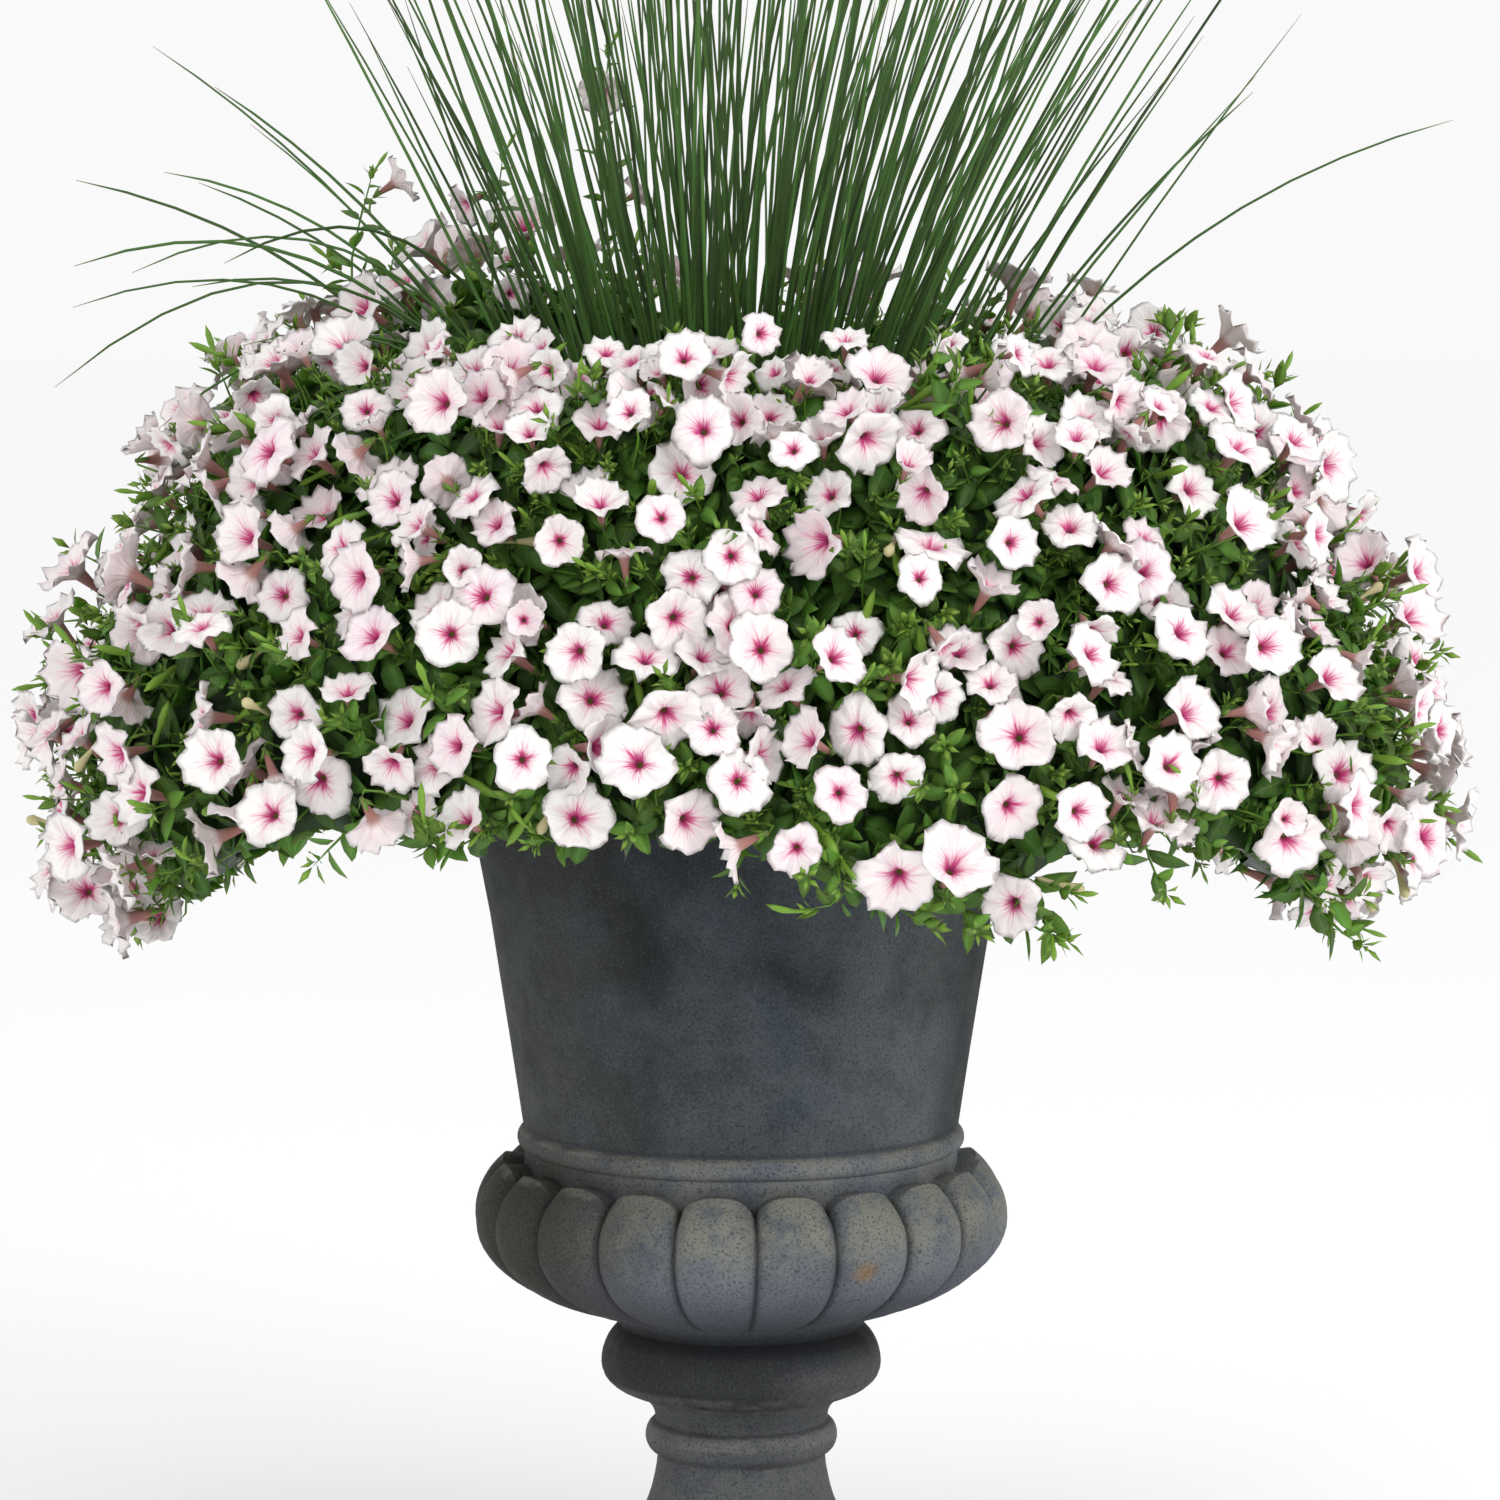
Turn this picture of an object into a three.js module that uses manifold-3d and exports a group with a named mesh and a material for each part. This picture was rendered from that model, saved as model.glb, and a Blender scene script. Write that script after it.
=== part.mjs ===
// A soft rush and trailing petunias planted together in a gadrooned garden urn.
// Millimetres, +Z up. The origin is the middle of the plinth's underside, and the front faces -Y.

import * as THREE from 'three';
import { mergeVertices } from 'three/addons/utils/BufferGeometryUtils.js';
import Module from 'manifold-3d';

const wasm = await Module();
wasm.setup();

// Urn: heights are over the ground, radii from its upright axis
const RIM_HEIGHT = 750;
const RIM_RADIUS = 236;
const RIM_ROUNDING = 3;
const WALL_THICKNESS = 24;
const WALL_BEND = { radius: 213.3, height: 625 };
const WALL_FOOT = { radius: 186, height: 446 };
const COLLAR_BEAD = { radius: 191, height: 434, halfHeight: 9, proud: 8 };
const BAND_RADIUS = 185;
const BAND_FOOT = 392;
const BOWL_FLOOR = 318;
const BOWL_FLOOR_RADIUS = 130;
const BOWL_CORNER = { radius: 158, height: 345 };
const LOBE_COUNT = 20;
const LOBE_TURN = 3.2;
const LOBE_DEPTH = 12;
const LOBE_STEPS = 3;
const LOBE_UPPER = { middle: 150, height: 366, out: 78.3, up: 67.7, from: 46 };
const LOBE_LOWER = { middle: 55, height: 364, out: 173.3, down: 84.5 };
const KNOP_CREASE = { radius: 104, height: 271 };
const KNOP = { middle: 85, height: 238, out: 35.3, up: 39, down: 26 };
const NECK = { radius: 74, height: 190 };
const STEM_BEAD = { middle: 72.5, height: 174, out: 10, halfHeight: 14 };
const FOOT_THROAT = { radius: 72, height: 157 };
const FOOT_EDGE = { radius: 146, height: 52, rounding: 12 };
const PLINTH_SIDE = 312;
const PLINTH_HEIGHT = 40;
const URN_SEGMENTS = 24;

// Soil and the fit of what stands in it
const SOIL_EDGE = 714;
const SOIL_CROWN = 721;
const FIT_GAP = 0.4;
const RUSH_HOLE_RADIUS = 76;
const RUSH_HOLE_DEPTH = 80;
const RUSH_HOLE_SIDES = 24;
const STEM_HOLE_DEPTH = 45;

// Soft rush: a fan of bare round stems, with a few long ones that arch over the petunias
const TUFT_COUNT = 6;
const TUFT_FIRST_EDGE = 30;
const TUFT_GAP = 1;
const RUSH_STEMS = 86;
const RUSH_FIRST_STEM = 3;
const RUSH_STEM_RADIUS = 2.3;
const RUSH_CROWN_RADIUS = 66;
const RUSH_LEAN = 0.25;
const RUSH_ARCH = 0.00032;
const RUSH_TALLEST = 915;
const RUSH_OUTER_HEIGHT = 745;
const RUSH_SCATTER = 0.26;
const RUSH_EDGE_CLEARANCE = 3.4;
const CROWN_RISE = 2;
const STEM_SINK = 8;
const GOLDEN_TURN = Math.PI * (3 - Math.sqrt(5));
// azimuth in degrees, the tip's reach from the axis, its height over the rim, and the bow's height
const ARCHING_STEMS = [
  { azimuth: 158, reach: 555, height: 612, bow: 0.78 },
  { azimuth: 167, reach: 590, height: 496, bow: 0.93 },
  { azimuth: 176, reach: 568, height: 424, bow: 1.26 },
  { azimuth: 187, reach: 560, height: 392, bow: 1.28 },
  { azimuth: 197, reach: 585, height: 330, bow: 1.7 },
  { azimuth: 350, reach: 596, height: 547, bow: 0.9 },
  { azimuth: 8, reach: 440, height: 571, bow: 0.72 },
];

// Petunias: the mound that the blooms make, drawn at the urn's left and right sides,
// as distance out from the axis and height over the rim, from its inner edge to its hanging lip
const MOUND_OUTLINE = new THREE.SplineCurve([
  [283, 352], [392, 356], [484, 304], [544, 214], [586, 112], [604, 20], [596, -52], [552, -102],
  [500, -128],
].map(([out, height]) => new THREE.Vector2(out, height)));
const ROUND_RADIUS = 250;
const DEPTH_SHARE = 0.7;
const FRONT_CROWD = 0.35;
const FRONT_CUT = 0.22;
const BACK_CUT = 0.08;
const TRAIL = { azimuth: -72, width: 9, share: 0.13 };
const BACK_RISE = 0.12;
const SHOULDER = { azimuth: 130, width: 32, share: 0.14 };
const CREST_SPREAD = 0.45;
const TIERS = [
  { cells: 6, start: 0.5, stemFoot: 110, stemHead: 130 },
  { cells: 9, start: 0.09, stemFoot: 135, stemHead: 150 },
  { cells: 11, start: 0.02, stemFoot: 160, stemHead: 170 },
  { cells: 10, start: 0.06, stemFoot: 188, stemHead: 195 },
];
const CELL_COLUMNS = 3;
const CELL_ROWS = 3;
const CELL_GAP = 12;
const FORK_HEIGHT = 40;
const PETUNIA_STEM_RADIUS = 3.2;
const TWIG_RADIUS = 2.8;
const CORE_DEPTH = 60;
const EDGE_DROOP = 10;
const TWIG_SHARE = 0.45;
const NORMAL_SHARE = 0.3;
const LEAF_EVERY = 2;
const BLOOM_RADIUS = 31;
const BLOOM_NOTCH = 0.86;
const BLOOM_THROAT = 14;
const BLOOM_FOOT = 4.5;
const BLOOM_LEVEL = 12;
const BLOOM_TILT = 0.09;
const BLOOM_CLEARANCE = 1.5;
const PETAL_LOBES = 5;
const LEAF_LENGTH = 70;
const LEAF_HALF_WIDTH = 11;
const LEAF_KEEL = 3.5;
const LEAF_LEAN = 0.35;
const LEAF_CLEARANCE = 2;

const COLOURS = {
  urn: { color: 0x3f4649, roughness: 0.85, metalness: 0 },
  soil: { color: 0x2b1e15, roughness: 1, metalness: 0 },
  rush: { color: 0x35521f, roughness: 0.6, metalness: 0 },
  petunia: { color: 0xe9dcdd, roughness: 0.7, metalness: 0 },
};

const UP = new THREE.Vector3(0, 0, 1);

// A seeded draw between 0 and 1, so that every run grows the same plant
function seededDraw(seed) {
  let state = seed;
  return () => {
    state = (state + 0x6d2b79f5) | 0;
    let mixed = Math.imul(state ^ (state >>> 15), 1 | state);
    mixed = (mixed + Math.imul(mixed ^ (mixed >>> 7), 61 | mixed)) ^ mixed;
    return ((mixed ^ (mixed >>> 14)) >>> 0) / 4294967296;
  };
}

function blend(from, to, share) {
  return from + (to - from) * share;
}

function smoothStep(low, high, value) {
  const share = Math.min(1, Math.max(0, (value - low) / (high - low)));
  return share * share * (3 - 2 * share);
}

// A smooth hump round one azimuth, both in degrees
function hump(azimuth, { azimuth: middle, width, share }) {
  const apart = THREE.MathUtils.euclideanModulo(azimuth - middle + 180, 360) - 180;
  return share * Math.exp(-((apart / width) ** 2));
}

// Turns a closed geometry into a solid that can be joined and cut
function toSolid(geometry) {
  const bare = geometry.clone();
  bare.deleteAttribute('normal');
  bare.deleteAttribute('uv');
  const merged = mergeVertices(bare, 1e-4);
  return new wasm.Manifold(new wasm.Mesh({
    numProp: 3,
    vertProperties: new Float32Array(merged.attributes.position.array),
    triVerts: new Uint32Array(merged.index.array),
  }));
}

function fromSolid(solid) {
  const mesh = solid.getMesh();
  const geometry = new THREE.BufferGeometry();
  geometry.setAttribute('position', new THREE.BufferAttribute(mesh.vertProperties, 3));
  geometry.setIndex(new THREE.BufferAttribute(mesh.triVerts, 1));
  return geometry;
}

// Turns an outline of [radius, height] points round the upright axis
function turned(points, segments) {
  const outline = points.map(([radius, height]) => new THREE.Vector2(radius, height));
  return new THREE.LatheGeometry(outline, segments).rotateX(Math.PI / 2);
}

// Points of an elliptical arc in the plane of [radius, height], angles in degrees
function arc(middle, height, out, up, from, to, steps) {
  return Array.from({ length: steps + 1 }, (_, step) => {
    const angle = THREE.MathUtils.degToRad(blend(from, to, step / steps));
    return [middle + out * Math.cos(angle), height + up * Math.sin(angle)];
  });
}

// The foot's hollow flare, from its edge up to the narrow throat
function footFlare() {
  const curve = new THREE.CubicBezierCurve(
    new THREE.Vector2(FOOT_EDGE.radius - FOOT_EDGE.rounding * 1.7, FOOT_EDGE.height + FOOT_EDGE.rounding),
    new THREE.Vector2(92, 78),
    new THREE.Vector2(FOOT_THROAT.radius + 2, 120),
    new THREE.Vector2(FOOT_THROAT.radius, FOOT_THROAT.height),
  );
  return curve.getPoints(3).map(({ x, y }) => [x, y]);
}

// The turned outside of the urn, from inside the plinth up over the rim, without the lobes
function urnOutline() {
  const edge = FOOT_EDGE;
  const bead = COLLAR_BEAD;
  return [
    [0, PLINTH_HEIGHT / 2],
    [edge.radius - edge.rounding, PLINTH_HEIGHT / 2],
    [edge.radius - edge.rounding, edge.height - edge.rounding],
    ...arc(edge.radius - edge.rounding, edge.height, edge.rounding, edge.rounding, -60, 90, 3),
    ...footFlare(),
    ...arc(STEM_BEAD.middle, STEM_BEAD.height, STEM_BEAD.out, STEM_BEAD.halfHeight, -80, 80, 3),
    [NECK.radius, NECK.height],
    [NECK.radius + 3.5, NECK.height + 11],
    ...arc(KNOP.middle, KNOP.height, KNOP.out, KNOP.down, -85, 0, 3),
    ...arc(KNOP.middle, KNOP.height, KNOP.out, KNOP.up, 30, 58, 1),
    [KNOP_CREASE.radius, KNOP_CREASE.height],
    [BAND_RADIUS + 2, BAND_FOOT],
    [BAND_RADIUS, BAND_FOOT + 8],
    ...arc(bead.radius - bead.proud, bead.height, bead.proud, bead.halfHeight, -70, 70, 3),
    [WALL_FOOT.radius, WALL_FOOT.height],
    [WALL_BEND.radius, WALL_BEND.height],
    [RIM_RADIUS, RIM_HEIGHT - RIM_ROUNDING],
    [RIM_RADIUS - RIM_ROUNDING, RIM_HEIGHT],
    [0, RIM_HEIGHT],
  ];
}

// The hollow of the bowl, drawn in by a gap where it shapes the soil, up to a given height
function bowlRadius(height) {
  const share = (height - WALL_FOOT.height) / (RIM_HEIGHT - WALL_FOOT.height);
  return blend(WALL_FOOT.radius, RIM_RADIUS, share) - WALL_THICKNESS;
}

function bowlOutline(gap) {
  return [
    [0, BOWL_FLOOR + gap],
    [BOWL_FLOOR_RADIUS - gap, BOWL_FLOOR + gap],
    [BOWL_CORNER.radius - gap, BOWL_CORNER.height + gap],
    [bowlRadius(WALL_FOOT.height) - gap, WALL_FOOT.height],
  ];
}

// The ring of upright rounded lobes: each row runs round the urn, creased between the lobes
function lobeRing() {
  const upper = LOBE_UPPER;
  const lower = LOBE_LOWER;
  const rows = [
    ...arc(lower.middle, lower.height, lower.out, lower.down, -80, 0, 4),
    ...arc(upper.middle, upper.height, upper.out, upper.up, 22, upper.from, 2),
  ];
  const steps = LOBE_COUNT * LOBE_STEPS;
  const positions = [];
  rows.forEach(([radius, height], row) => {
    const share = row / (rows.length - 1);
    const depth = LOBE_DEPTH * Math.sin(Math.PI * blend(0.22, 0.8, share));
    const drop = LOBE_DEPTH * smoothStep(0.6, 1, share);
    for (let step = 0; step < steps; step += 1) {
      const angle = THREE.MathUtils.degToRad(LOBE_TURN) + (2 * Math.PI * step) / steps;
      const across = (step % LOBE_STEPS) / LOBE_STEPS;
      const sunk = 1 - Math.sin(Math.PI * across) ** 0.7;
      const out = radius - depth * sunk;
      positions.push(out * Math.cos(angle), out * Math.sin(angle), height - drop * sunk);
    }
  });
  const foot = positions.push(0, 0, rows[0][1]) / 3 - 1;
  const head = positions.push(0, 0, rows[rows.length - 1][1] - LOBE_DEPTH) / 3 - 1;
  const faces = [];
  for (let step = 0; step < steps; step += 1) {
    const next = (step + 1) % steps;
    faces.push(foot, next, step);
    for (let row = 0; row < rows.length - 1; row += 1) {
      const low = row * steps;
      const high = low + steps;
      faces.push(low + step, low + next, high + next, low + step, high + next, high + step);
    }
    const top = (rows.length - 1) * steps;
    faces.push(top + step, top + next, head);
  }
  const geometry = new THREE.BufferGeometry();
  geometry.setAttribute('position', new THREE.Float32BufferAttribute(positions, 3));
  geometry.setIndex(faces);
  return geometry;
}

function buildUrn() {
  const plinth = new THREE.BoxGeometry(PLINTH_SIDE, PLINTH_SIDE, PLINTH_HEIGHT);
  plinth.translate(0, 0, PLINTH_HEIGHT / 2);
  const hollow = [
    ...bowlOutline(0),
    [bowlRadius(RIM_HEIGHT + 10), RIM_HEIGHT + 10],
    [0, RIM_HEIGHT + 10],
  ];
  const body = toSolid(turned(urnOutline(), URN_SEGMENTS))
    .add(toSolid(lobeRing()))
    .add(toSolid(plinth))
    .subtract(toSolid(turned(hollow, URN_SEGMENTS)));
  return fromSolid(body);
}

// Three corners round a point, square to a direction, with the first turned towards a side
function cornersRound(centre, direction, side, radius) {
  const first = side.clone().addScaledVector(direction, -side.dot(direction)).normalize();
  return [0, 1, 2].map((corner) => first.clone()
    .applyAxisAngle(direction, (corner * 2 * Math.PI) / 3)
    .multiplyScalar(radius)
    .add(centre));
}

// A closed body put together from loops of points, kept as plain vertices and faces
class FacetBody {
  constructor() {
    this.points = [];
    this.faces = [];
  }

  add(points) {
    return points.map((point) => this.points.push(point) - 1);
  }

  face(a, b, c) {
    this.faces.push([a, b, c]);
  }

  // Joins two loops of the same length, both seen counter-clockwise from the end
  tube(near, far) {
    near.forEach((corner, index) => {
      const next = (index + 1) % near.length;
      this.face(corner, near[next], far[next]);
      this.face(corner, far[next], far[index]);
    });
  }

  // Joins two loops of different lengths by their angles round an axis
  funnel(near, far, origin, direction) {
    const side = this.points[near[0]].clone().sub(origin);
    side.addScaledVector(direction, -side.dot(direction)).normalize();
    const across = direction.clone().cross(side);
    const angleOf = (corner) => {
      const arm = this.points[corner].clone().sub(origin);
      return Math.atan2(arm.dot(across), arm.dot(side));
    };
    const apart = far.map((corner) => Math.abs(angleOf(corner)));
    const start = apart.indexOf(Math.min(...apart));
    const turnedFar = [...far.slice(start), ...far.slice(0, start)];
    const [nearAngles, farAngles] = [near, turnedFar].map((loop) => {
      const angles = [angleOf(loop[0])];
      for (let index = 1; index < loop.length; index += 1) {
        const step = angleOf(loop[index]) - angles[index - 1];
        angles.push(angles[index - 1] + THREE.MathUtils.euclideanModulo(step, 2 * Math.PI));
      }
      return [...angles, angles[0] + 2 * Math.PI];
    });
    let low = 0;
    let high = 0;
    while (low < near.length || high < far.length) {
      const corner = near[low % near.length];
      const other = turnedFar[high % far.length];
      const nearMiddle = nearAngles[low] + nearAngles[low + 1];
      const farMiddle = farAngles[high] + farAngles[high + 1];
      const lowFirst = high === far.length || (low < near.length && nearMiddle <= farMiddle);
      if (lowFirst) {
        low += 1;
        this.face(corner, near[low % near.length], other);
      } else {
        high += 1;
        this.face(corner, turnedFar[high % far.length], other);
      }
    }
  }

  fan(loop, tip) {
    loop.forEach((corner, index) => this.face(corner, loop[(index + 1) % loop.length], tip));
  }

  toGeometry() {
    const geometry = new THREE.BufferGeometry();
    const numbers = this.points.flatMap((point) => point.toArray());
    geometry.setAttribute('position', new THREE.Float32BufferAttribute(numbers, 3));
    geometry.setIndex(this.faces.flat());
    return geometry;
  }
}

// The azimuth at a share of the way round, with more room given to the front
function moundAzimuth(turn) {
  return -Math.PI / 2 + 2 * Math.PI * turn - FRONT_CROWD * Math.sin(2 * Math.PI * turn);
}

// A point of the mound that the bloom faces make, from its inner edge (0) to its lip (1)
function moundPoint(turn, share) {
  const azimuth = moundAzimuth(turn);
  const degrees = THREE.MathUtils.radToDeg(azimuth);
  const towardsBack = Math.sin(azimuth);
  const hang = 1
    - FRONT_CUT * smoothStep(0.15, 0.85, -towardsBack)
    - BACK_CUT * smoothStep(0.3, 0.8, towardsBack)
    + hump(degrees, TRAIL);
  const { x: out, y: height } = MOUND_OUTLINE.getPointAt(share * hang);
  const rise = 1 + BACK_RISE * Math.max(0, towardsBack) + hump(degrees, SHOULDER);
  const tall = height > 0 ? height * rise : height;
  const wide = out + CREST_SPREAD * (tall - height);
  const deep = ROUND_RADIUS + (wide - ROUND_RADIUS) * DEPTH_SHARE;
  return new THREE.Vector3(
    wide * Math.cos(azimuth),
    deep * Math.sin(azimuth),
    RIM_HEIGHT + tall,
  );
}

// One spray's share of the mound, with the place of its stem and of the fork at its top
function sprayCells() {
  const rows = TIERS.length * CELL_ROWS;
  return TIERS.flatMap(({ cells, start, stemFoot, stemHead }, tier) => (
    Array.from({ length: cells }, (_, index) => {
      const turns = [(index + start * cells) / cells, (index + 1 + start * cells) / cells];
      const shares = [(tier * CELL_ROWS) / rows, ((tier + 1) * CELL_ROWS) / rows];
      const middle = moundPoint((turns[0] + turns[1]) / 2, (shares[0] + shares[1]) / 2);
      const azimuth = moundAzimuth((turns[0] + turns[1]) / 2);
      const out = new THREE.Vector3(Math.cos(azimuth), Math.sin(azimuth), 0);
      const foot = out.clone().multiplyScalar(stemFoot).setZ(soilHeight(stemFoot));
      const fork = out.clone().multiplyScalar(stemHead).setZ(RIM_HEIGHT + FORK_HEIGHT);
      return { tier, index, turns, shares, middle, foot, fork };
    })
  ));
}

function soilHeight(radius) {
  return blend(SOIL_CROWN, SOIL_EDGE, radius / bowlRadius(SOIL_EDGE));
}

// The corners of the stem where it stands in the soil, wider by a gap for its hole
function stemCorners(cell, height, gap) {
  const centre = cell.foot.clone().setZ(height);
  const out = cell.middle.clone().sub(cell.fork).setZ(0).normalize();
  return cornersRound(centre, UP, out, PETUNIA_STEM_RADIUS + 2 * gap);
}

// A place in a spray's patch: columns and rows count from its first corner
function patchPoint({ turns, shares }, column, row) {
  const edge = moundPoint(turns[0], shares[0]).distanceTo(moundPoint(turns[1], shares[0]));
  const trimTurn = ((turns[1] - turns[0]) * CELL_GAP) / 2 / edge;
  const length = moundPoint(turns[0], shares[0]).distanceTo(moundPoint(turns[0], shares[1]));
  const trimShare = ((shares[1] - shares[0]) * CELL_GAP) / 2 / length;
  return moundPoint(
    blend(turns[0] + trimTurn, turns[1] - trimTurn, column / CELL_COLUMNS),
    blend(shares[0] + trimShare, shares[1] - trimShare, row / CELL_ROWS),
  );
}

// The way a spray grows at a place of its patch: between straight from its fork and square out
function growthWay(cell, column, row) {
  const point = patchPoint(cell, column, row);
  const across = patchPoint(cell, column + 0.5, row).sub(patchPoint(cell, column - 0.5, row));
  const down = patchPoint(cell, column, Math.min(row + 0.5, CELL_ROWS));
  down.sub(patchPoint(cell, column, Math.max(row - 0.5, 0)));
  const square = down.cross(across).normalize();
  return point.sub(cell.fork).normalize().lerp(square, NORMAL_SHARE).normalize();
}

// The blooms of a spray, set like bricks: each has its root on the core and its open face
function sprayBlooms(cell, draw) {
  const blooms = [];
  for (let column = 0; column < CELL_COLUMNS; column += 1) {
    for (let row = 0; row < CELL_ROWS; row += 1) {
      const odd = (row + cell.tier * CELL_ROWS) % 2;
      const place = [column + (odd ? 0.75 : 0.25), row + 0.5];
      const root = corePoint(cell, ...place);
      const direction = growthWay(cell, ...place);
      const length = CORE_DEPTH + (odd ? -BLOOM_LEVEL : BLOOM_LEVEL);
      const tilt = new THREE.Vector3(draw() - 0.5, draw() - 0.5, draw() - 0.5);
      direction.addScaledVector(tilt, 2 * BLOOM_TILT).normalize();
      const face = root.clone().addScaledVector(direction, length);
      const roll = draw() * 2 * Math.PI;
      blooms.push({ place, root, face, direction, length, roll, radius: BLOOM_RADIUS });
    }
  }
  return blooms;
}

// Whether a point keeps clear of a bloom's trumpet
function clearOfBloom(point, { face, direction, length, radius }, clearance) {
  const arm = point.clone().sub(face);
  const along = arm.dot(direction);
  const aside = Math.sqrt(Math.max(0, arm.lengthSq() - along * along));
  const share = THREE.MathUtils.clamp(1 + along / length, 0, 1);
  return along > clearance || aside > blend(BLOOM_FOOT, radius, share) + clearance;
}

// The corners of a bloom's rim: five lobes, or a plain ring where its notches are 1
function bloomRim({ face, direction, roll, radius }, notch) {
  const side = new THREE.Vector3(-direction.y, direction.x, 0).normalize();
  return Array.from({ length: 2 * PETAL_LOBES }, (_, step) => side.clone()
    .applyAxisAngle(direction, roll + (step * Math.PI) / PETAL_LOBES)
    .multiplyScalar(radius * (step % 2 ? notch : 1))
    .add(face));
}

// Draws crowded blooms in until no rim reaches into another bloom
function fitBlooms(blooms) {
  blooms.forEach((bloom, index) => {
    blooms.slice(0, index).forEach((other) => {
      const reaches = (from, to) => bloomRim(from, 1)
        .some((corner) => !clearOfBloom(corner, to, BLOOM_CLEARANCE));
      while (bloom.face.distanceTo(other.face) < bloom.radius + other.radius + BLOOM_CLEARANCE
        && (reaches(bloom, other) || reaches(other, bloom))) {
        bloom.radius *= 0.98;
        other.radius *= 0.98;
      }
    });
  });
}

// A leaf in each space between the blooms, shortened until it stands clear of all of them
function sprayLeaves(cell, blooms, draw) {
  const neighbours = cell.blooms.filter((bloom, index) => index % LEAF_EVERY === 0);
  return neighbours.map(({ place: [column, row] }) => {
    const place = [column % 1 > 0.5 ? column - 0.5 : column + 0.5, row];
    const root = corePoint(cell, ...place);
    const direction = growthWay(cell, ...place);
    const lean = new THREE.Vector3(draw() - 0.5, draw() - 0.5, draw() - 0.5);
    direction.addScaledVector(lean, LEAF_LEAN).normalize();
    const near = blooms.filter(({ face }) => face.distanceTo(root) < 2 * LEAF_LENGTH);
    let length = LEAF_LENGTH * blend(0.75, 1.1, draw());
    const crowded = () => [0.3, 0.5, 0.7, 0.85, 1].some((share) => {
      const middle = root.clone().addScaledVector(direction, share * length);
      const clearance = LEAF_CLEARANCE + LEAF_HALF_WIDTH * (1 - share);
      return near.some((bloom) => !clearOfBloom(middle, bloom, clearance));
    });
    while (crowded() && length > LEAF_LENGTH / 3) {
      length -= 3;
    }
    return { place, tip: root.clone().addScaledVector(direction, length) };
  });
}

// A point of a spray's core, which lies a way inside the blooms' faces
function corePoint(cell, column, row, depth = CORE_DEPTH) {
  return patchPoint(cell, column, row).addScaledVector(growthWay(cell, column, row), -depth);
}

// A small triangle of the core for what grows there, its corners set off in millimetres
function rootCorners(cell, [column, row], offsets) {
  const wide = corePoint(cell, 0, row).distanceTo(corePoint(cell, CELL_COLUMNS, row));
  const tall = corePoint(cell, column, 0).distanceTo(corePoint(cell, column, CELL_ROWS));
  return offsets.map(([aside, down]) => corePoint(
    cell,
    column + (aside * CELL_COLUMNS) / wide,
    row + (down * CELL_ROWS) / tall,
  ));
}

// Swaps the edge that two flat triangles share wherever that makes them less thin
function evenOut(faces, flat) {
  const angleAt = (corner, from, to) => (
    flat[from].clone().sub(flat[corner]).angleTo(flat[to].clone().sub(flat[corner]))
  );
  const swapOne = () => {
    const owners = new Map();
    faces.forEach((face, index) => face.forEach((corner, place) => {
      owners.set(`${corner} ${face[(place + 1) % 3]}`, index);
    }));
    return faces.some((face, index) => face.some((from, place) => {
      const to = face[(place + 1) % 3];
      const corner = face[(place + 2) % 3];
      const other = owners.get(`${to} ${from}`);
      if (other === undefined) {
        return false;
      }
      const far = faces[other].find((value) => value !== from && value !== to);
      if (angleAt(corner, from, to) + angleAt(far, from, to) < Math.PI + 1e-6) {
        return false;
      }
      faces[index] = [from, far, corner];
      faces[other] = [far, to, corner];
      return true;
    }));
  };
  let swapped = true;
  while (swapped) {
    swapped = swapOne();
  }
  return faces;
}

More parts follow.
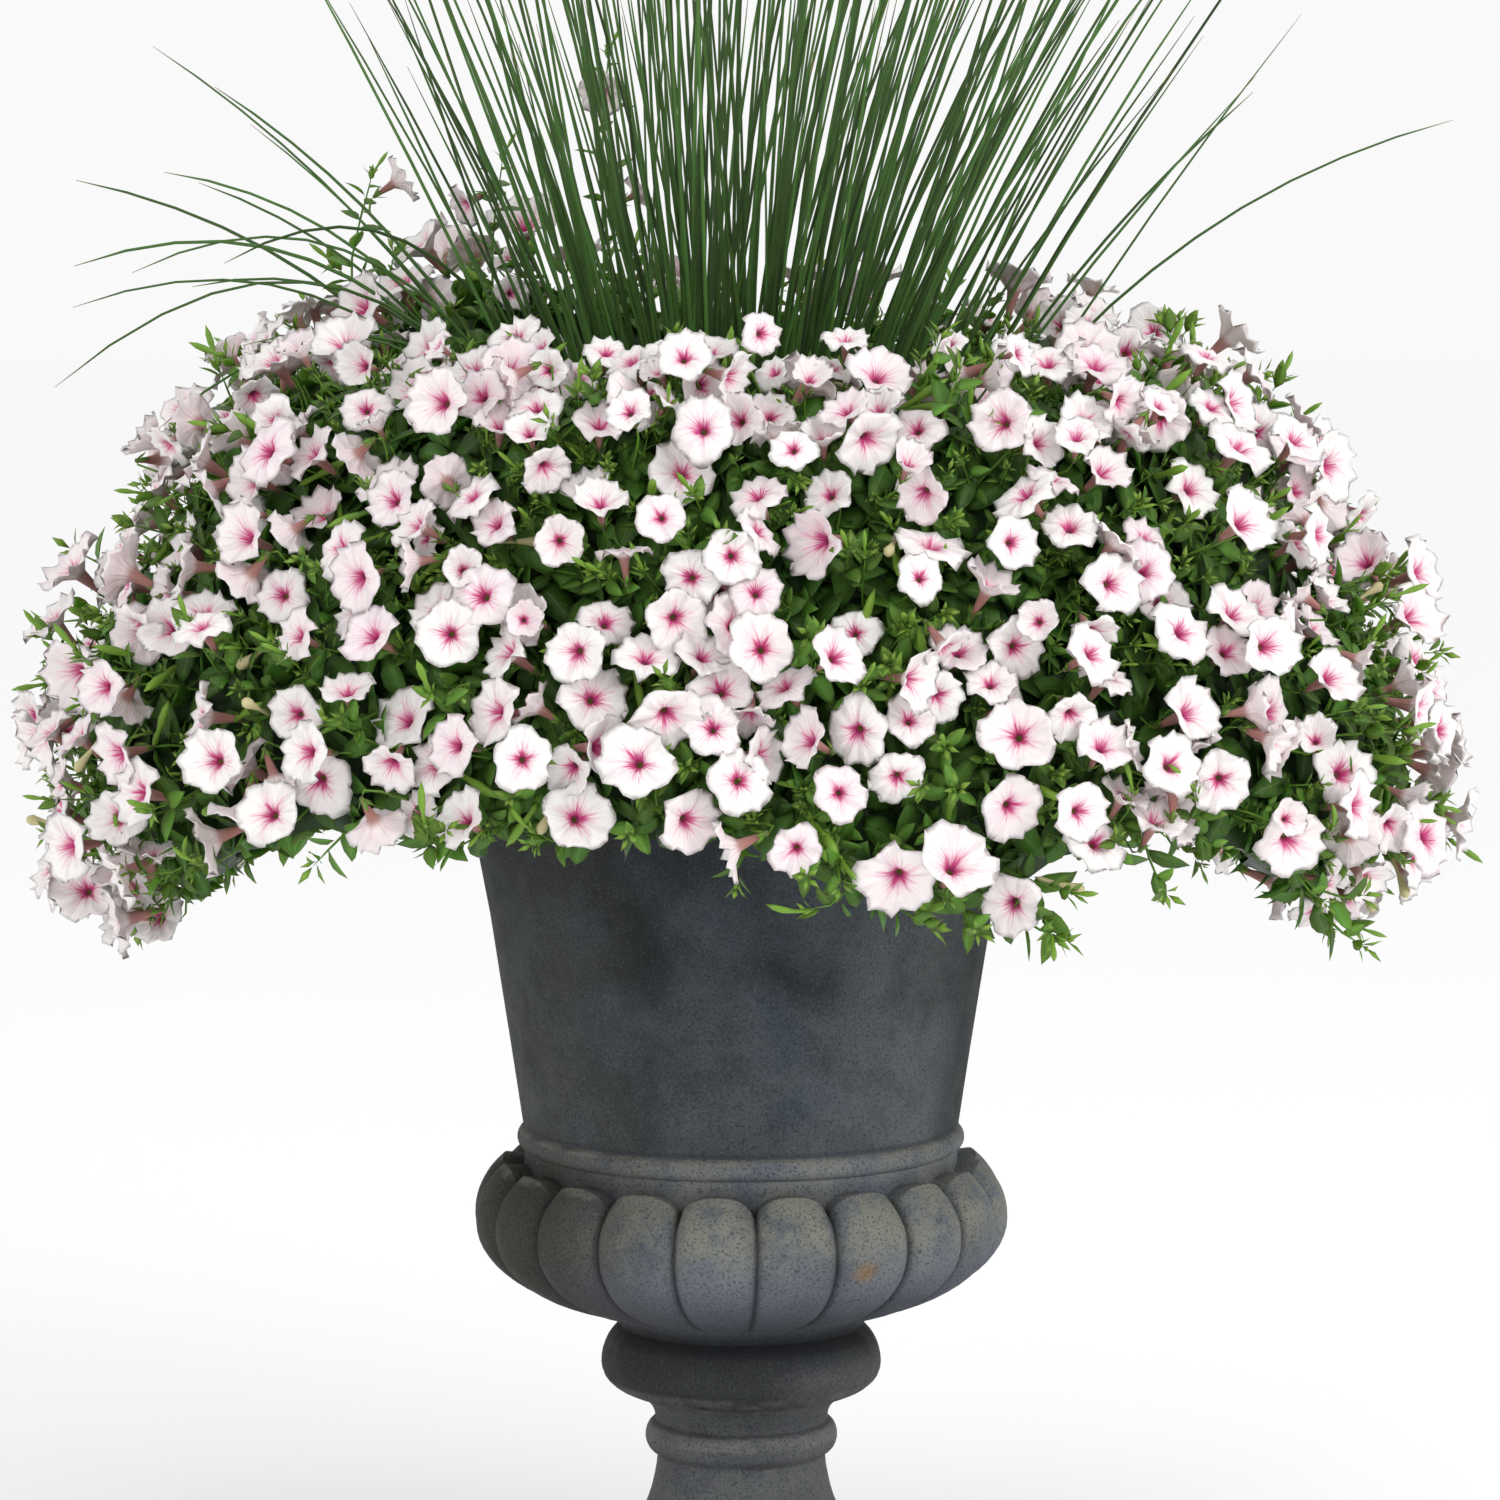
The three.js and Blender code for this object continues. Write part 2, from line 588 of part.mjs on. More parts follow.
// One leafy spray: a stem from the soil that forks into a thin fan of blooms and leaves
function buildSpray(cell) {
  const body = new FacetBody();
  const bloomFoot = [90, 210, 330].map((angle) => {
    const turn = THREE.MathUtils.degToRad(angle);
    return [BLOOM_FOOT * Math.cos(turn), -BLOOM_FOOT * Math.sin(turn)];
  });
  const leafFoot = [[0, -LEAF_HALF_WIDTH], [0, LEAF_HALF_WIDTH], [LEAF_KEEL, 0]];
  const roots = [
    ...cell.blooms.map(({ place }) => rootCorners(cell, place, bloomFoot)),
    ...cell.leaves.map(({ place }) => rootCorners(cell, place, leafFoot)),
  ];
  const outline = [
    [0, 0], [0, 1], [0, 2], [0, 3], [1, 3], [2, 3], [3, 3], [3, 2], [3, 1], [3, 0], [2, 0], [1, 0],
  ].map(([column, row]) => corePoint(cell, column, row, CORE_DEPTH + EDGE_DROOP));
  const solid = [outline, ...roots].flat();
  const corners = body.add(solid);

  const outward = cell.middle.clone().sub(cell.fork).normalize();
  const twigEnd = cell.fork.clone().lerp(cell.middle, TWIG_SHARE);
  const side = outward.clone().setZ(0).normalize();
  const lowSide = side.clone().multiplyScalar(outward.z).addScaledVector(UP, -outward.dot(side));
  const rightSide = lowSide.clone().cross(outward).negate();
  const seenFromTwig = (point) => {
    const arm = point.clone().sub(twigEnd);
    const depth = arm.dot(outward);
    return new THREE.Vector2(arm.dot(rightSide) / depth, -arm.dot(lowSide) / depth);
  };
  const flat = solid.map(seenFromTwig);
  const flatRoots = roots.map((root) => root.map(seenFromTwig));
  const cap = THREE.ShapeUtils.triangulateShape(outline.map(seenFromTwig), flatRoots);
  evenOut(cap.map(([a, b, c]) => {
    const turn = flat[b].clone().sub(flat[a]).cross(flat[c].clone().sub(flat[a]));
    return turn > 0 ? [a, b, c] : [a, c, b];
  }), flat).forEach((corners) => body.face(...corners));
  const rootLoop = (index) => corners.slice(outline.length + 3 * index, outline.length + 3 * index + 3);
  cell.blooms.forEach((bloom, index) => {
    const rim = body.add(bloomRim(bloom, BLOOM_NOTCH));
    const [throat] = body.add([bloom.face.clone().addScaledVector(bloom.direction, -BLOOM_THROAT)]);
    body.funnel(rootLoop(index), rim, bloom.root, bloom.direction);
    body.fan(rim, throat);
  });
  cell.leaves.forEach(({ tip }, index) => {
    const [apex] = body.add([tip]);
    body.fan(rootLoop(cell.blooms.length + index), apex);
  });

  const bend = outward.clone().add(UP).normalize();
  const bendSide = lowSide.clone().add(side).normalize();
  const twig = body.add(cornersRound(twigEnd, outward, lowSide, TWIG_RADIUS));
  const fork = body.add(cornersRound(cell.fork, bend, bendSide, PETUNIA_STEM_RADIUS));
  const foot = body.add(stemCorners(cell, cell.foot.z + 2, 0));
  const end = body.add(stemCorners(cell, cell.foot.z - STEM_HOLE_DEPTH + FIT_GAP, 0));
  body.funnel(twig, corners.slice(0, outline.length), twigEnd, outward);
  body.tube(fork, twig);
  body.tube(foot, fork);
  body.tube(end, foot);
  body.face(end[2], end[1], end[0]);
  return body.toGeometry();
}

// The radius that the rush's outer stems have at a height over the soil
function clumpRadius(height) {
  return RUSH_CROWN_RADIUS + RUSH_LEAN * height + RUSH_ARCH * height * height;
}

// A tapered three-sided stem through a list of points, ending in a point
function rushStem(path) {
  const body = new FacetBody();
  let previous;
  path.slice(0, -1).forEach((point, index) => {
    const ahead = path[index + 1].clone().sub(path[Math.max(0, index - 1)]).normalize();
    const taper = 1 - (0.55 * index) / (path.length - 1);
    const outward = point.clone().setZ(0).normalize();
    const loop = body.add(cornersRound(point, ahead, outward, RUSH_STEM_RADIUS * taper));
    if (previous) {
      body.tube(previous, loop);
    } else {
      body.face(loop[2], loop[1], loop[0]);
    }
    previous = loop;
  });
  const [tip] = body.add([path[path.length - 1]]);
  body.fan(previous, tip);
  return body.toGeometry();
}

// Every rush stem as a path of points, with the tuft that it stands in
function rushPaths() {
  const draw = seededDraw(17);
  const soil = soilHeight(0);
  const sector = (2 * Math.PI) / TUFT_COUNT;
  const firstEdge = THREE.MathUtils.degToRad(TUFT_FIRST_EDGE);
  const paths = [];
  for (let index = RUSH_FIRST_STEM; index < RUSH_STEMS; index += 1) {
    const share = Math.sqrt((index + 0.5) / RUSH_STEMS);
    const foot = share * RUSH_CROWN_RADIUS;
    const around = THREE.MathUtils.euclideanModulo(index * GOLDEN_TURN, 2 * Math.PI);
    const tuft = Math.floor(around / sector);
    const margin = Math.asin(Math.min(1, RUSH_EDGE_CLEARANCE / foot));
    const within = blend(margin, sector - margin, around / sector - tuft);
    const azimuth = firstEdge + tuft * sector + within;
    const tall = blend(RUSH_TALLEST, RUSH_OUTER_HEIGHT, share ** 2) * blend(0.86, 1.03, draw());
    const scatter = [draw() - 0.5, draw() - 0.5].map((value) => value * 2 * RUSH_SCATTER);
    const spacing = RUSH_CROWN_RADIUS * Math.sqrt(Math.PI / RUSH_STEMS);
    const path = [-STEM_SINK, 0.34 * tall, 0.7 * tall, tall].map((height) => {
      const spread = clumpRadius(Math.max(0, height)) / RUSH_CROWN_RADIUS;
      const drift = (spread - 1) * spacing;
      return new THREE.Vector3(
        spread * foot * Math.cos(azimuth) + drift * scatter[0],
        spread * foot * Math.sin(azimuth) + drift * scatter[1],
        soil + height,
      );
    });
    paths.push({ tuft, path });
  }
  ARCHING_STEMS.forEach(({ azimuth, reach, height, bow }) => {
    const angle = THREE.MathUtils.degToRad(azimuth);
    const around = THREE.MathUtils.euclideanModulo(angle - firstEdge, 2 * Math.PI);
    const rise = RIM_HEIGHT + height - soil;
    const curve = new THREE.CubicBezierCurve3(
      new THREE.Vector3(RUSH_CROWN_RADIUS, 0, soil - STEM_SINK),
      new THREE.Vector3(RUSH_CROWN_RADIUS + 0.12 * reach, 0, soil + 0.5 * rise * bow),
      new THREE.Vector3(0.52 * reach, 0, soil + 0.97 * rise * bow),
      new THREE.Vector3(reach, 0, soil + rise),
    );
    const path = curve.getPoints(6).map((point) => point.applyAxisAngle(UP, angle));
    paths.push({ tuft: Math.floor(around / sector), path });
  });
  return paths;
}

// A tuft's woody crown: one sector of the round root ball
function tuftCrown(tuft) {
  const sector = (2 * Math.PI) / TUFT_COUNT;
  const start = THREE.MathUtils.degToRad(TUFT_FIRST_EDGE) + tuft * sector;
  const outer = RUSH_HOLE_RADIUS * Math.cos(Math.PI / RUSH_HOLE_SIDES) - FIT_GAP;
  const inner = TUFT_GAP / Math.sin(sector / 2);
  const margin = Math.asin(TUFT_GAP / outer);
  const corners = [new THREE.Vector2(inner, 0).rotateAround(new THREE.Vector2(), start + sector / 2)];
  for (let step = 0; step <= 4; step += 1) {
    const angle = blend(start + margin, start + sector - margin, step / 4);
    corners.push(new THREE.Vector2(outer * Math.cos(angle), outer * Math.sin(angle)));
  }
  const depth = RUSH_HOLE_DEPTH - FIT_GAP + CROWN_RISE;
  const crown = new THREE.ExtrudeGeometry(new THREE.Shape(corners), { depth, bevelEnabled: false });
  return crown.translate(0, 0, soilHeight(0) + CROWN_RISE - depth);
}

function buildTuft(tuft, paths) {
  const stems = paths.filter((stem) => stem.tuft === tuft).map(({ path }) => rushStem(path));
  const solids = [tuftCrown(tuft), ...stems].map(toSolid);
  return fromSolid(wasm.Manifold.union(solids));
}

// Potting soil that fills the bowl, with a round hole for the rush and one for each stem
function buildSoil(cells) {
  const outline = [
    ...bowlOutline(FIT_GAP),
    [bowlRadius(SOIL_EDGE) - FIT_GAP, SOIL_EDGE],
    [0, SOIL_CROWN],
  ];
  const rushHole = new THREE.CylinderGeometry(
    RUSH_HOLE_RADIUS, RUSH_HOLE_RADIUS, RUSH_HOLE_DEPTH + 20, RUSH_HOLE_SIDES,
  );
  rushHole.rotateX(Math.PI / 2).translate(0, 0, SOIL_CROWN - RUSH_HOLE_DEPTH / 2 + 10);
  const stemHoles = cells.map((cell) => {
    const hole = new FacetBody();
    const low = hole.add(stemCorners(cell, cell.foot.z - STEM_HOLE_DEPTH, FIT_GAP));
    const high = hole.add(stemCorners(cell, cell.foot.z + STEM_HOLE_DEPTH, FIT_GAP));
    hole.tube(low, high);
    hole.face(low[2], low[1], low[0]);
    hole.face(high[0], high[1], high[2]);
    return hole.toGeometry();
  });
  const holes = wasm.Manifold.union([rushHole, ...stemHoles].map(toSolid));
  return fromSolid(toSolid(turned(outline, URN_SEGMENTS)).subtract(holes));
}

function namedMesh(name, geometry, look) {
  const mesh = new THREE.Mesh(geometry, new THREE.MeshStandardMaterial(look));
  mesh.name = name;
  return mesh;
}

const cells = sprayCells();
const bloomDraw = seededDraw(5);
const leafDraw = seededDraw(11);
cells.forEach((cell) => {
  cell.blooms = sprayBlooms(cell, bloomDraw);
});
const blooms = cells.flatMap((cell) => cell.blooms);
fitBlooms(blooms);
cells.forEach((cell) => {
  cell.leaves = sprayLeaves(cell, blooms, leafDraw);
});
const paths = rushPaths();

const plantedUrn = new THREE.Group();
plantedUrn.add(namedMesh('urn', buildUrn(), COLOURS.urn));
plantedUrn.add(namedMesh('potting_soil', buildSoil(cells), COLOURS.soil));
for (let tuft = 0; tuft < TUFT_COUNT; tuft += 1) {
  plantedUrn.add(namedMesh(`rush_tuft_${tuft + 1}`, buildTuft(tuft, paths), COLOURS.rush));
}
cells.forEach((cell, index) => {
  const name = `petunia_spray_${String(index + 1).padStart(2, '0')}`;
  plantedUrn.add(namedMesh(name, buildSpray(cell), COLOURS.petunia));
});

export default plantedUrn;
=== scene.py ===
"""A soft rush and trailing petunias growing together in a gadrooned cast-stone urn.

Lengths are in metres, +Z is up and the front faces -Y. The origin is the middle of the
plinth's underside, as in the solid model that is loaded as the frame.
"""

import math

import bpy
import numpy as np
from bpy.props import FloatProperty, FloatVectorProperty, IntProperty, PointerProperty
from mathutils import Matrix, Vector, noise


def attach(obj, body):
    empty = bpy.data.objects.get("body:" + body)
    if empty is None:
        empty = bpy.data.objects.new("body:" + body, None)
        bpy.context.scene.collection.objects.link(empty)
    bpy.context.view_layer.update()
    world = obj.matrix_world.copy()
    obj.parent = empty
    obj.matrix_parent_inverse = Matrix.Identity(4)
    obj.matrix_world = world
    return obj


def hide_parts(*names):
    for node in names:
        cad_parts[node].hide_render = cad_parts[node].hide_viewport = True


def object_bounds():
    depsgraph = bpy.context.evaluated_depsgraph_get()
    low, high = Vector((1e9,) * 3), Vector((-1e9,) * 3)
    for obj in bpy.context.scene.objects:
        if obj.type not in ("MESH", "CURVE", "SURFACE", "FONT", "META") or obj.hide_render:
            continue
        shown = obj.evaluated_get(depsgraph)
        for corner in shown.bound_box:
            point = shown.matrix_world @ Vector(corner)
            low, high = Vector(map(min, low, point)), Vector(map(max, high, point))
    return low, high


bl_info = {
    "name": "Planted urn",
    "version": (1, 0, 0),
    "blender": (4, 5, 0),
    "location": "3D View > Sidebar > Planted urn",
    "description": "A soft rush with trailing petunias in a gadrooned cast-stone urn",
    "category": "Object",
}

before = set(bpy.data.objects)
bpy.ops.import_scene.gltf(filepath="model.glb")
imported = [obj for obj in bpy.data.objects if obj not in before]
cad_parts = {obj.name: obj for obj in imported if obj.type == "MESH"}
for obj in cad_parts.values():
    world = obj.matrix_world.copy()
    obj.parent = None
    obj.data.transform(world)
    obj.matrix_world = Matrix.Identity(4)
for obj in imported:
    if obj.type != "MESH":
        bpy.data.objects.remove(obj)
CAD_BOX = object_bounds()

# The urn's turned form: heights are over the ground, radii from its upright axis
RIM_HEIGHT = 0.750
RIM_RADIUS = 0.236
WALL_THICKNESS = 0.024
WALL_BEND = (0.2133, 0.625)
WALL_FOOT = (0.186, 0.446)
COLLAR_BEAD = {"middle": 0.183, "height": 0.434, "out": 0.008, "up": 0.009}
BAND = (0.185, 0.392)
BOWL_FLOOR = 0.318
BOWL_FLOOR_RADIUS = 0.130
BOWL_CORNER = (0.158, 0.345)
LOBE_TURN = math.radians(3.2)
LOBE_UPPER = {"middle": 0.150, "height": 0.366, "out": 0.0783, "up": 0.0677}
LOBE_LOWER = {"middle": 0.055, "height": 0.364, "out": 0.1733, "up": 0.0845}
KNOP_CREASE = (0.104, 0.271)
KNOP = {"middle": 0.085, "height": 0.238, "out": 0.0353}
KNOP_UP = 0.039
KNOP_DOWN = 0.026
NECK = (0.074, 0.190)
STEM_BEAD = {"middle": 0.0725, "height": 0.174, "out": 0.010, "up": 0.014}
FOOT_THROAT = (0.072, 0.157)
FOOT_EDGE = {"middle": 0.134, "height": 0.052, "out": 0.012, "up": 0.012}
RIM_ROUNDING = 0.003
PLINTH_SIDE = 0.312
PLINTH_HEIGHT = 0.040

# The soil, and where the rush stands in it
SOIL_EDGE = 0.714
SOIL_CROWN = 0.721
SOIL_GAP = 0.0004
RUSH_CROWN_RADIUS = 0.066
RUSH_LEAN = 0.32
RUSH_ARCH = 0.22
RUSH_TALLEST = 0.915
RUSH_OUTER_HEIGHT = 0.745
RUSH_SIDE_LEAN = 0.085
TUFT_COUNT = 6
TUFT_FIRST_EDGE = math.radians(30)
FOOT_SUNK = 0.008
# azimuth in degrees, the tip's reach from the axis, its height over the rim, the bow's height
ARCHING_STEMS = [
    (158, 0.555, 0.612, 0.78),
    (167, 0.590, 0.496, 0.93),
    (176, 0.568, 0.424, 1.26),
    (187, 0.560, 0.392, 1.28),
    (197, 0.585, 0.330, 1.70),
    (350, 0.596, 0.547, 0.90),
    (8, 0.440, 0.571, 0.72),
]

# The mound that the blooms make, as distance out from the axis and height over the rim
MOUND_OUTLINE = [
    (0.283, 0.352), (0.392, 0.356), (0.484, 0.304), (0.544, 0.214), (0.586, 0.112),
    (0.604, 0.020), (0.596, -0.052), (0.552, -0.102), (0.500, -0.128),
]
ROUND_RADIUS = 0.250
DEPTH_SHARE = 0.7
FRONT_CROWD = 0.35
# how much of its length the mound lacks at the front and back, and the sines of the azimuth
# between which that comes in
FRONT_CUT = (0.22, 0.15, 0.85)
BACK_CUT = (0.08, 0.3, 0.8)
TRAIL = (-72, 9, 0.13)
BACK_RISE = 0.12
SHOULDER = (130, 32, 0.14)
CREST_SPREAD = 0.45
# how far the upper flanks draw in, from which height over the rim, and over what height
FLANK_DRAW = (0.024, 0.10, 0.26)
# cells round the mound, where the first starts, and how far out the stem and its fork stand
TIERS = [
    (6, 0.5, 0.110, 0.130),
    (9, 0.09, 0.135, 0.150),
    (11, 0.02, 0.160, 0.170),
    (10, 0.06, 0.188, 0.195),
]
CELL_COLUMNS = 3
CELL_ROWS = 3
CELL_GAP = 0.012
FORK_HEIGHT = 0.040
NORMAL_SHARE = 0.3
CORE_DEPTH = 0.060
BLOOM_RADIUS = 0.031
BLOOM_FOOT = 0.0045
BLOOM_LEVEL = 0.012
BLOOM_TILT = 0.09
BLOOM_CLEARANCE = 0.0015
PETAL_LOBES = 5

# Long shoots that climb behind the rush: the spray they leave, their tip and their blooms
CLIMBING_SHOOTS = [
    (3, (-0.120, 0.225, 1.335), 3),
    (3, (-0.215, 0.235, 1.240), 3),
    (4, (-0.330, 0.180, 1.225), 2),
]

# The leafy shoots: their length, how far each form bends, how many of the first forms stand up
# and of the last hang down, and how many more a spray at the mound's edge has
SHOOT_LENGTH = 0.090
SHOOT_BENDS = (0.1, 0.3, 0.5, 0.2, 0.7, 0.9, 1.5, 1.9)
UPRIGHT_FORMS = 6
HANGING_FORMS = 3
INNER_EDGE_SHOOTS = 9
LOWER_EDGE_SHOOTS = 6
# where along a shoot it must miss the blooms, how far behind and before them, and how far beside
SHOOT_PARTS = (0.7, 1.12)
BLOOM_BEHIND = 0.016
BLOOM_BEFORE = 0.06
LEAF_CLEARANCE = 0.004
SEPALS = 5

# The bed of old leaves inside a spray, painted dark as shade: how deep under the blooms' faces, and
# its steps each way
BED_DEPTH = CORE_DEPTH + 0.012
BED_STEPS = 9

# Steps that never fall in line, as a turn round a stem and as a share of a row
GOLDEN_TURN = math.pi * (3 - math.sqrt(5))
GOLDEN_SHARE = 0.6180339
UP = np.array([0.0, 0.0, 1.0])

# The floor, and the lamps: their place, their side and their share of the key lamp's power
FLOOR_SIDE = 60
LAMPS = [("key_lamp", (3.3, -2.9, 2.9), 2.0, 1.0), ("fill_lamp", (-2.4, -3.8, 1.9), 2.4, 0.36)]
LAMP_AIM = 0.85

# What every colour setting has in common
COLOUR_RANGE = {"subtype": "COLOR", "size": 3, "min": 0, "max": 1}


class UrnSettings(bpy.types.PropertyGroup):
    """Sizes and colours of the cast-stone urn"""

    lobe_count: IntProperty(
        name="Lobes", description="Rounded lobes round the urn's belly", default=20, min=8, max=40)
    steps_per_lobe: IntProperty(
        name="Steps per lobe", description="Faces across each lobe", default=16, min=6, max=24)
    crease_depth: FloatProperty(
        name="Crease depth", description="How deep the creases between the lobes are",
        default=0.014, unit="LENGTH")
    body_colour: FloatVectorProperty(
        name="Stone", description="Colour of the urn's wall",
        default=(0.034, 0.041, 0.047), **COLOUR_RANGE)
    moss_colour: FloatVectorProperty(
        name="Weathered tops", description="Warm grey-green of the lobes' tops",
        default=(0.205, 0.210, 0.172), **COLOUR_RANGE)
    shade_colour: FloatVectorProperty(
        name="Lower lobes", description="Cool grey of the lobes' lower halves",
        default=(0.100, 0.110, 0.134), **COLOUR_RANGE)
    # Also the painted shade in the creases, under the belly, at the neck and over the bead
    pit_and_shade_colour: FloatVectorProperty(
        name="Pits", description="Dark specks and creases",
        default=(0.014, 0.016, 0.019), **COLOUR_RANGE)
    worn_colour: FloatVectorProperty(
        name="Worn edges", description="Pale grey where high parts are rubbed",
        default=(0.215, 0.212, 0.186), **COLOUR_RANGE)


class SoilSettings(bpy.types.PropertyGroup):
    """Sizes and colours of the potting soil"""

    crumbs: IntProperty(
        name="Crumbs", description="Loose lumps of bark and grit on top", default=420, min=0)
    soil_colour: FloatVectorProperty(
        name="Soil", description="Colour of the moist potting mix",
        default=(0.026, 0.015, 0.009), **COLOUR_RANGE)


class RushSettings(bpy.types.PropertyGroup):
    """Sizes and colours of the soft rush"""

    stems: IntProperty(
        name="Stems", description="Upright stems in the whole clump", default=262, min=30)
    stem_radius: FloatProperty(
        name="Stem radius", description="Radius of a stem near its foot",
        default=0.0023, unit="LENGTH")
    crossing: FloatProperty(
        name="Crossing", description="How far the stems stray across each other",
        default=2.1, min=0, max=3)
    dead_share: FloatProperty(
        name="Dead stems", description="Share of stems that are dry and brown",
        default=0.012, min=0, max=1, subtype="FACTOR")
    stem_colour: FloatVectorProperty(
        name="Stems", description="Deep green of the live stems",
        default=(0.028, 0.074, 0.014), **COLOUR_RANGE)
    dry_colour: FloatVectorProperty(
        name="Dry stems", description="Tan of the dead stems and tips",
        default=(0.30, 0.18, 0.075), **COLOUR_RANGE)


class PetuniaSettings(bpy.types.PropertyGroup):
    """Sizes and colours of the petunias"""

    bloom_size: FloatProperty(
        name="Bloom size", description="Width of the blooms against the solid model's",
        default=0.95, min=0.5, max=1.5)
    turn_to_front: FloatProperty(
        name="Turn to the light", description="How far the blooms turn to the front and up",
        default=0.38, min=0, max=1)
    turned_blooms: IntProperty(
        name="Turned blooms", description="Further blooms in each spray that face any way",
        default=7, min=0)
    shoots: IntProperty(
        name="Leafy shoots", description="Leafy shoots in each spray", default=38, min=4)
    old_leaves: IntProperty(
        name="Old leaves", description="Large old leaves under the shoots of each spray",
        default=62, min=4)
    inner_leaves: IntProperty(
        name="Inner leaves", description="Leaves down the inner side of each topmost spray",
        default=120, min=4)
    leaf_length: FloatProperty(
        name="Leaf length", description="Length of a grown leaf", default=0.038, unit="LENGTH")
    petal_colour: FloatVectorProperty(
        name="Petals", description="White of the petals",
        default=(0.875, 0.845, 0.82), **COLOUR_RANGE)
    vein_colour: FloatVectorProperty(
        name="Veins", description="Pink of the petals' veins",
        default=(0.70, 0.25, 0.40), **COLOUR_RANGE)
    throat_colour: FloatVectorProperty(
        name="Throat", description="Magenta pink of the throat",
        default=(0.56, 0.055, 0.215), **COLOUR_RANGE)
    tube_colour: FloatVectorProperty(
        name="Tube", description="Mauve brown of the tube's outside",
        default=(0.36, 0.16, 0.14), **COLOUR_RANGE)
    leaf_colour: FloatVectorProperty(
        name="Leaves", description="Green of the grown leaves",
        default=(0.040, 0.125, 0.012), **COLOUR_RANGE)
    tip_colour: FloatVectorProperty(
        name="Young leaves", description="Yellow green of the shoots' tips and buds",
        default=(0.19, 0.34, 0.035), **COLOUR_RANGE)
    spent_colour: FloatVectorProperty(
        name="Spent blooms", description="Straw of the faded blooms",
        default=(0.52, 0.47, 0.25), **COLOUR_RANGE)


class StageSettings(bpy.types.PropertyGroup):
    """The floor, the light and the camera"""

    floor_colour: FloatVectorProperty(
        name="Floor", description="Colour of the plain floor",
        default=(0.99, 0.99, 0.99), **COLOUR_RANGE)
    sky_strength: FloatProperty(
        name="Room light", description="Strength of the even light all round", default=0.95)
    key_power: FloatProperty(
        name="Key lamp", description="Power of the large soft lamp", default=84, unit="POWER")
    camera_distance: FloatProperty(
        name="Camera distance", description="From the urn's axis to the camera",
        default=5.0, unit="LENGTH")
    camera_height: FloatProperty(
        name="Camera height", description="Height of the camera over the ground",
        default=1.28, unit="LENGTH")
    camera_side: FloatProperty(
        name="Camera side", description="How far right of the urn's axis the camera stands",
        default=0.0077, unit="LENGTH")
    aim_height: FloatProperty(
        name="Aim height", description="Height that the camera looks at",
        default=0.7647, unit="LENGTH")
    focal_length: FloatProperty(
        name="Lens", description="Focal length on a 36 mm sensor", default=141.9)


def blend(low, high, share):
    """The value a share of the way between two others"""
    return low + (high - low) * share


def shaded(colour, share):
    """A colour made darker or lighter"""
    return [min(1.0, channel * share) for channel in colour]


def between(values, low, high):
    """Where values lie between two limits"""
    return (values > low) & (values < high)


def smooth_step(low, high, value):
    """A smooth rise from 0 to 1 between two values"""
    share = min(1.0, max(0.0, (value - low) / (high - low)))
    return share * share * (3 - 2 * share)


def unit(vector):
    """The same direction, one long"""
    return vector / np.linalg.norm(vector)


def seeded_draw(seed):
    """A repeatable draw between 0 and 1, the one that places the solid model's blooms"""
    state = seed
    word = 0xFFFFFFFF

    def draw():
        nonlocal state
        state = (state + 0x6D2B79F5) & word
        mixed = ((state ^ (state >> 15)) * (1 | state)) & word
        mixed = ((mixed + ((mixed ^ (mixed >> 7)) * (61 | mixed) & word)) & word) ^ mixed
        return ((mixed ^ (mixed >> 14)) & word) / 4294967296

    return draw


# Plain modelling steps


def deselect_all():
    """Object mode with nothing selected"""
    if bpy.context.mode != "OBJECT":
        bpy.ops.object.mode_set(mode="OBJECT")
    bpy.ops.object.select_all(action="DESELECT")


def make_active(obj):
    """Selects one object alone and makes it the active one"""
    deselect_all()
    obj.select_set(True)
    bpy.context.view_layer.objects.active = obj


def active_named(name):
    """Names the object that the last primitive made"""
    obj = bpy.context.view_layer.objects.active
    obj.name = name
    obj.data.name = name
    return obj


def place_applied(obj):
    """Puts the object's origin at the frame's, with its place in its mesh"""
    make_active(obj)
    bpy.ops.object.transform_apply(location=True, rotation=True, scale=True)


def finish_mesh(obj, merge=1e-6, angle=40):
    """Merges doubles, turns the faces outward and shades by angle"""
    place_applied(obj)
    bpy.ops.object.mode_set(mode="EDIT")
    bpy.ops.mesh.select_all(action="SELECT")
    bpy.ops.mesh.remove_doubles(threshold=merge)
    bpy.ops.mesh.normals_make_consistent(inside=False)
    bpy.ops.object.mode_set(mode="OBJECT")
    bpy.ops.object.shade_smooth_by_angle(angle=math.radians(angle))


def arc(form, start, end, steps, up=None):
    """Points of an elliptical arc in the plane of radius and height, angles in degrees"""
    rise = form["up"] if up is None else up
    angles = np.radians(np.linspace(start, end, steps + 1))
    return [
        (form["middle"] + form["out"] * math.cos(a), form["height"] + rise * math.sin(a))
        for a in angles
    ]


def straight(start, end, steps):
    """Points between two others, without the first"""
    return [
        (blend(start[0], end[0], k / steps), blend(start[1], end[1], k / steps))
        for k in range(1, steps + 1)
    ]


def turned(name, profile, steps):
    """Draws a profile by extruding one corner along it, then spins it round the upright axis"""
    deselect_all()
    radius, height = profile[0]
    bpy.ops.mesh.primitive_plane_add(size=0.001, location=(radius, 0, height))
    obj = active_named(name)
    bpy.ops.object.mode_set(mode="EDIT")
    bpy.ops.mesh.select_all(action="SELECT")
    bpy.ops.mesh.merge(type="CENTER")
    for (r0, z0), (r1, z1) in zip(profile, profile[1:]):
        bpy.ops.mesh.extrude_region_move(TRANSFORM_OT_translate={"value": (r1 - r0, 0, z1 - z0)})
    bpy.ops.mesh.select_all(action="SELECT")
    bpy.ops.mesh.spin(
        steps=steps, angle=2 * math.pi, center=(0, 0, 0), axis=(0, 0, 1), use_auto_merge=True)
    bpy.ops.object.mode_set(mode="OBJECT")
    finish_mesh(obj, merge=1e-5)
    return obj


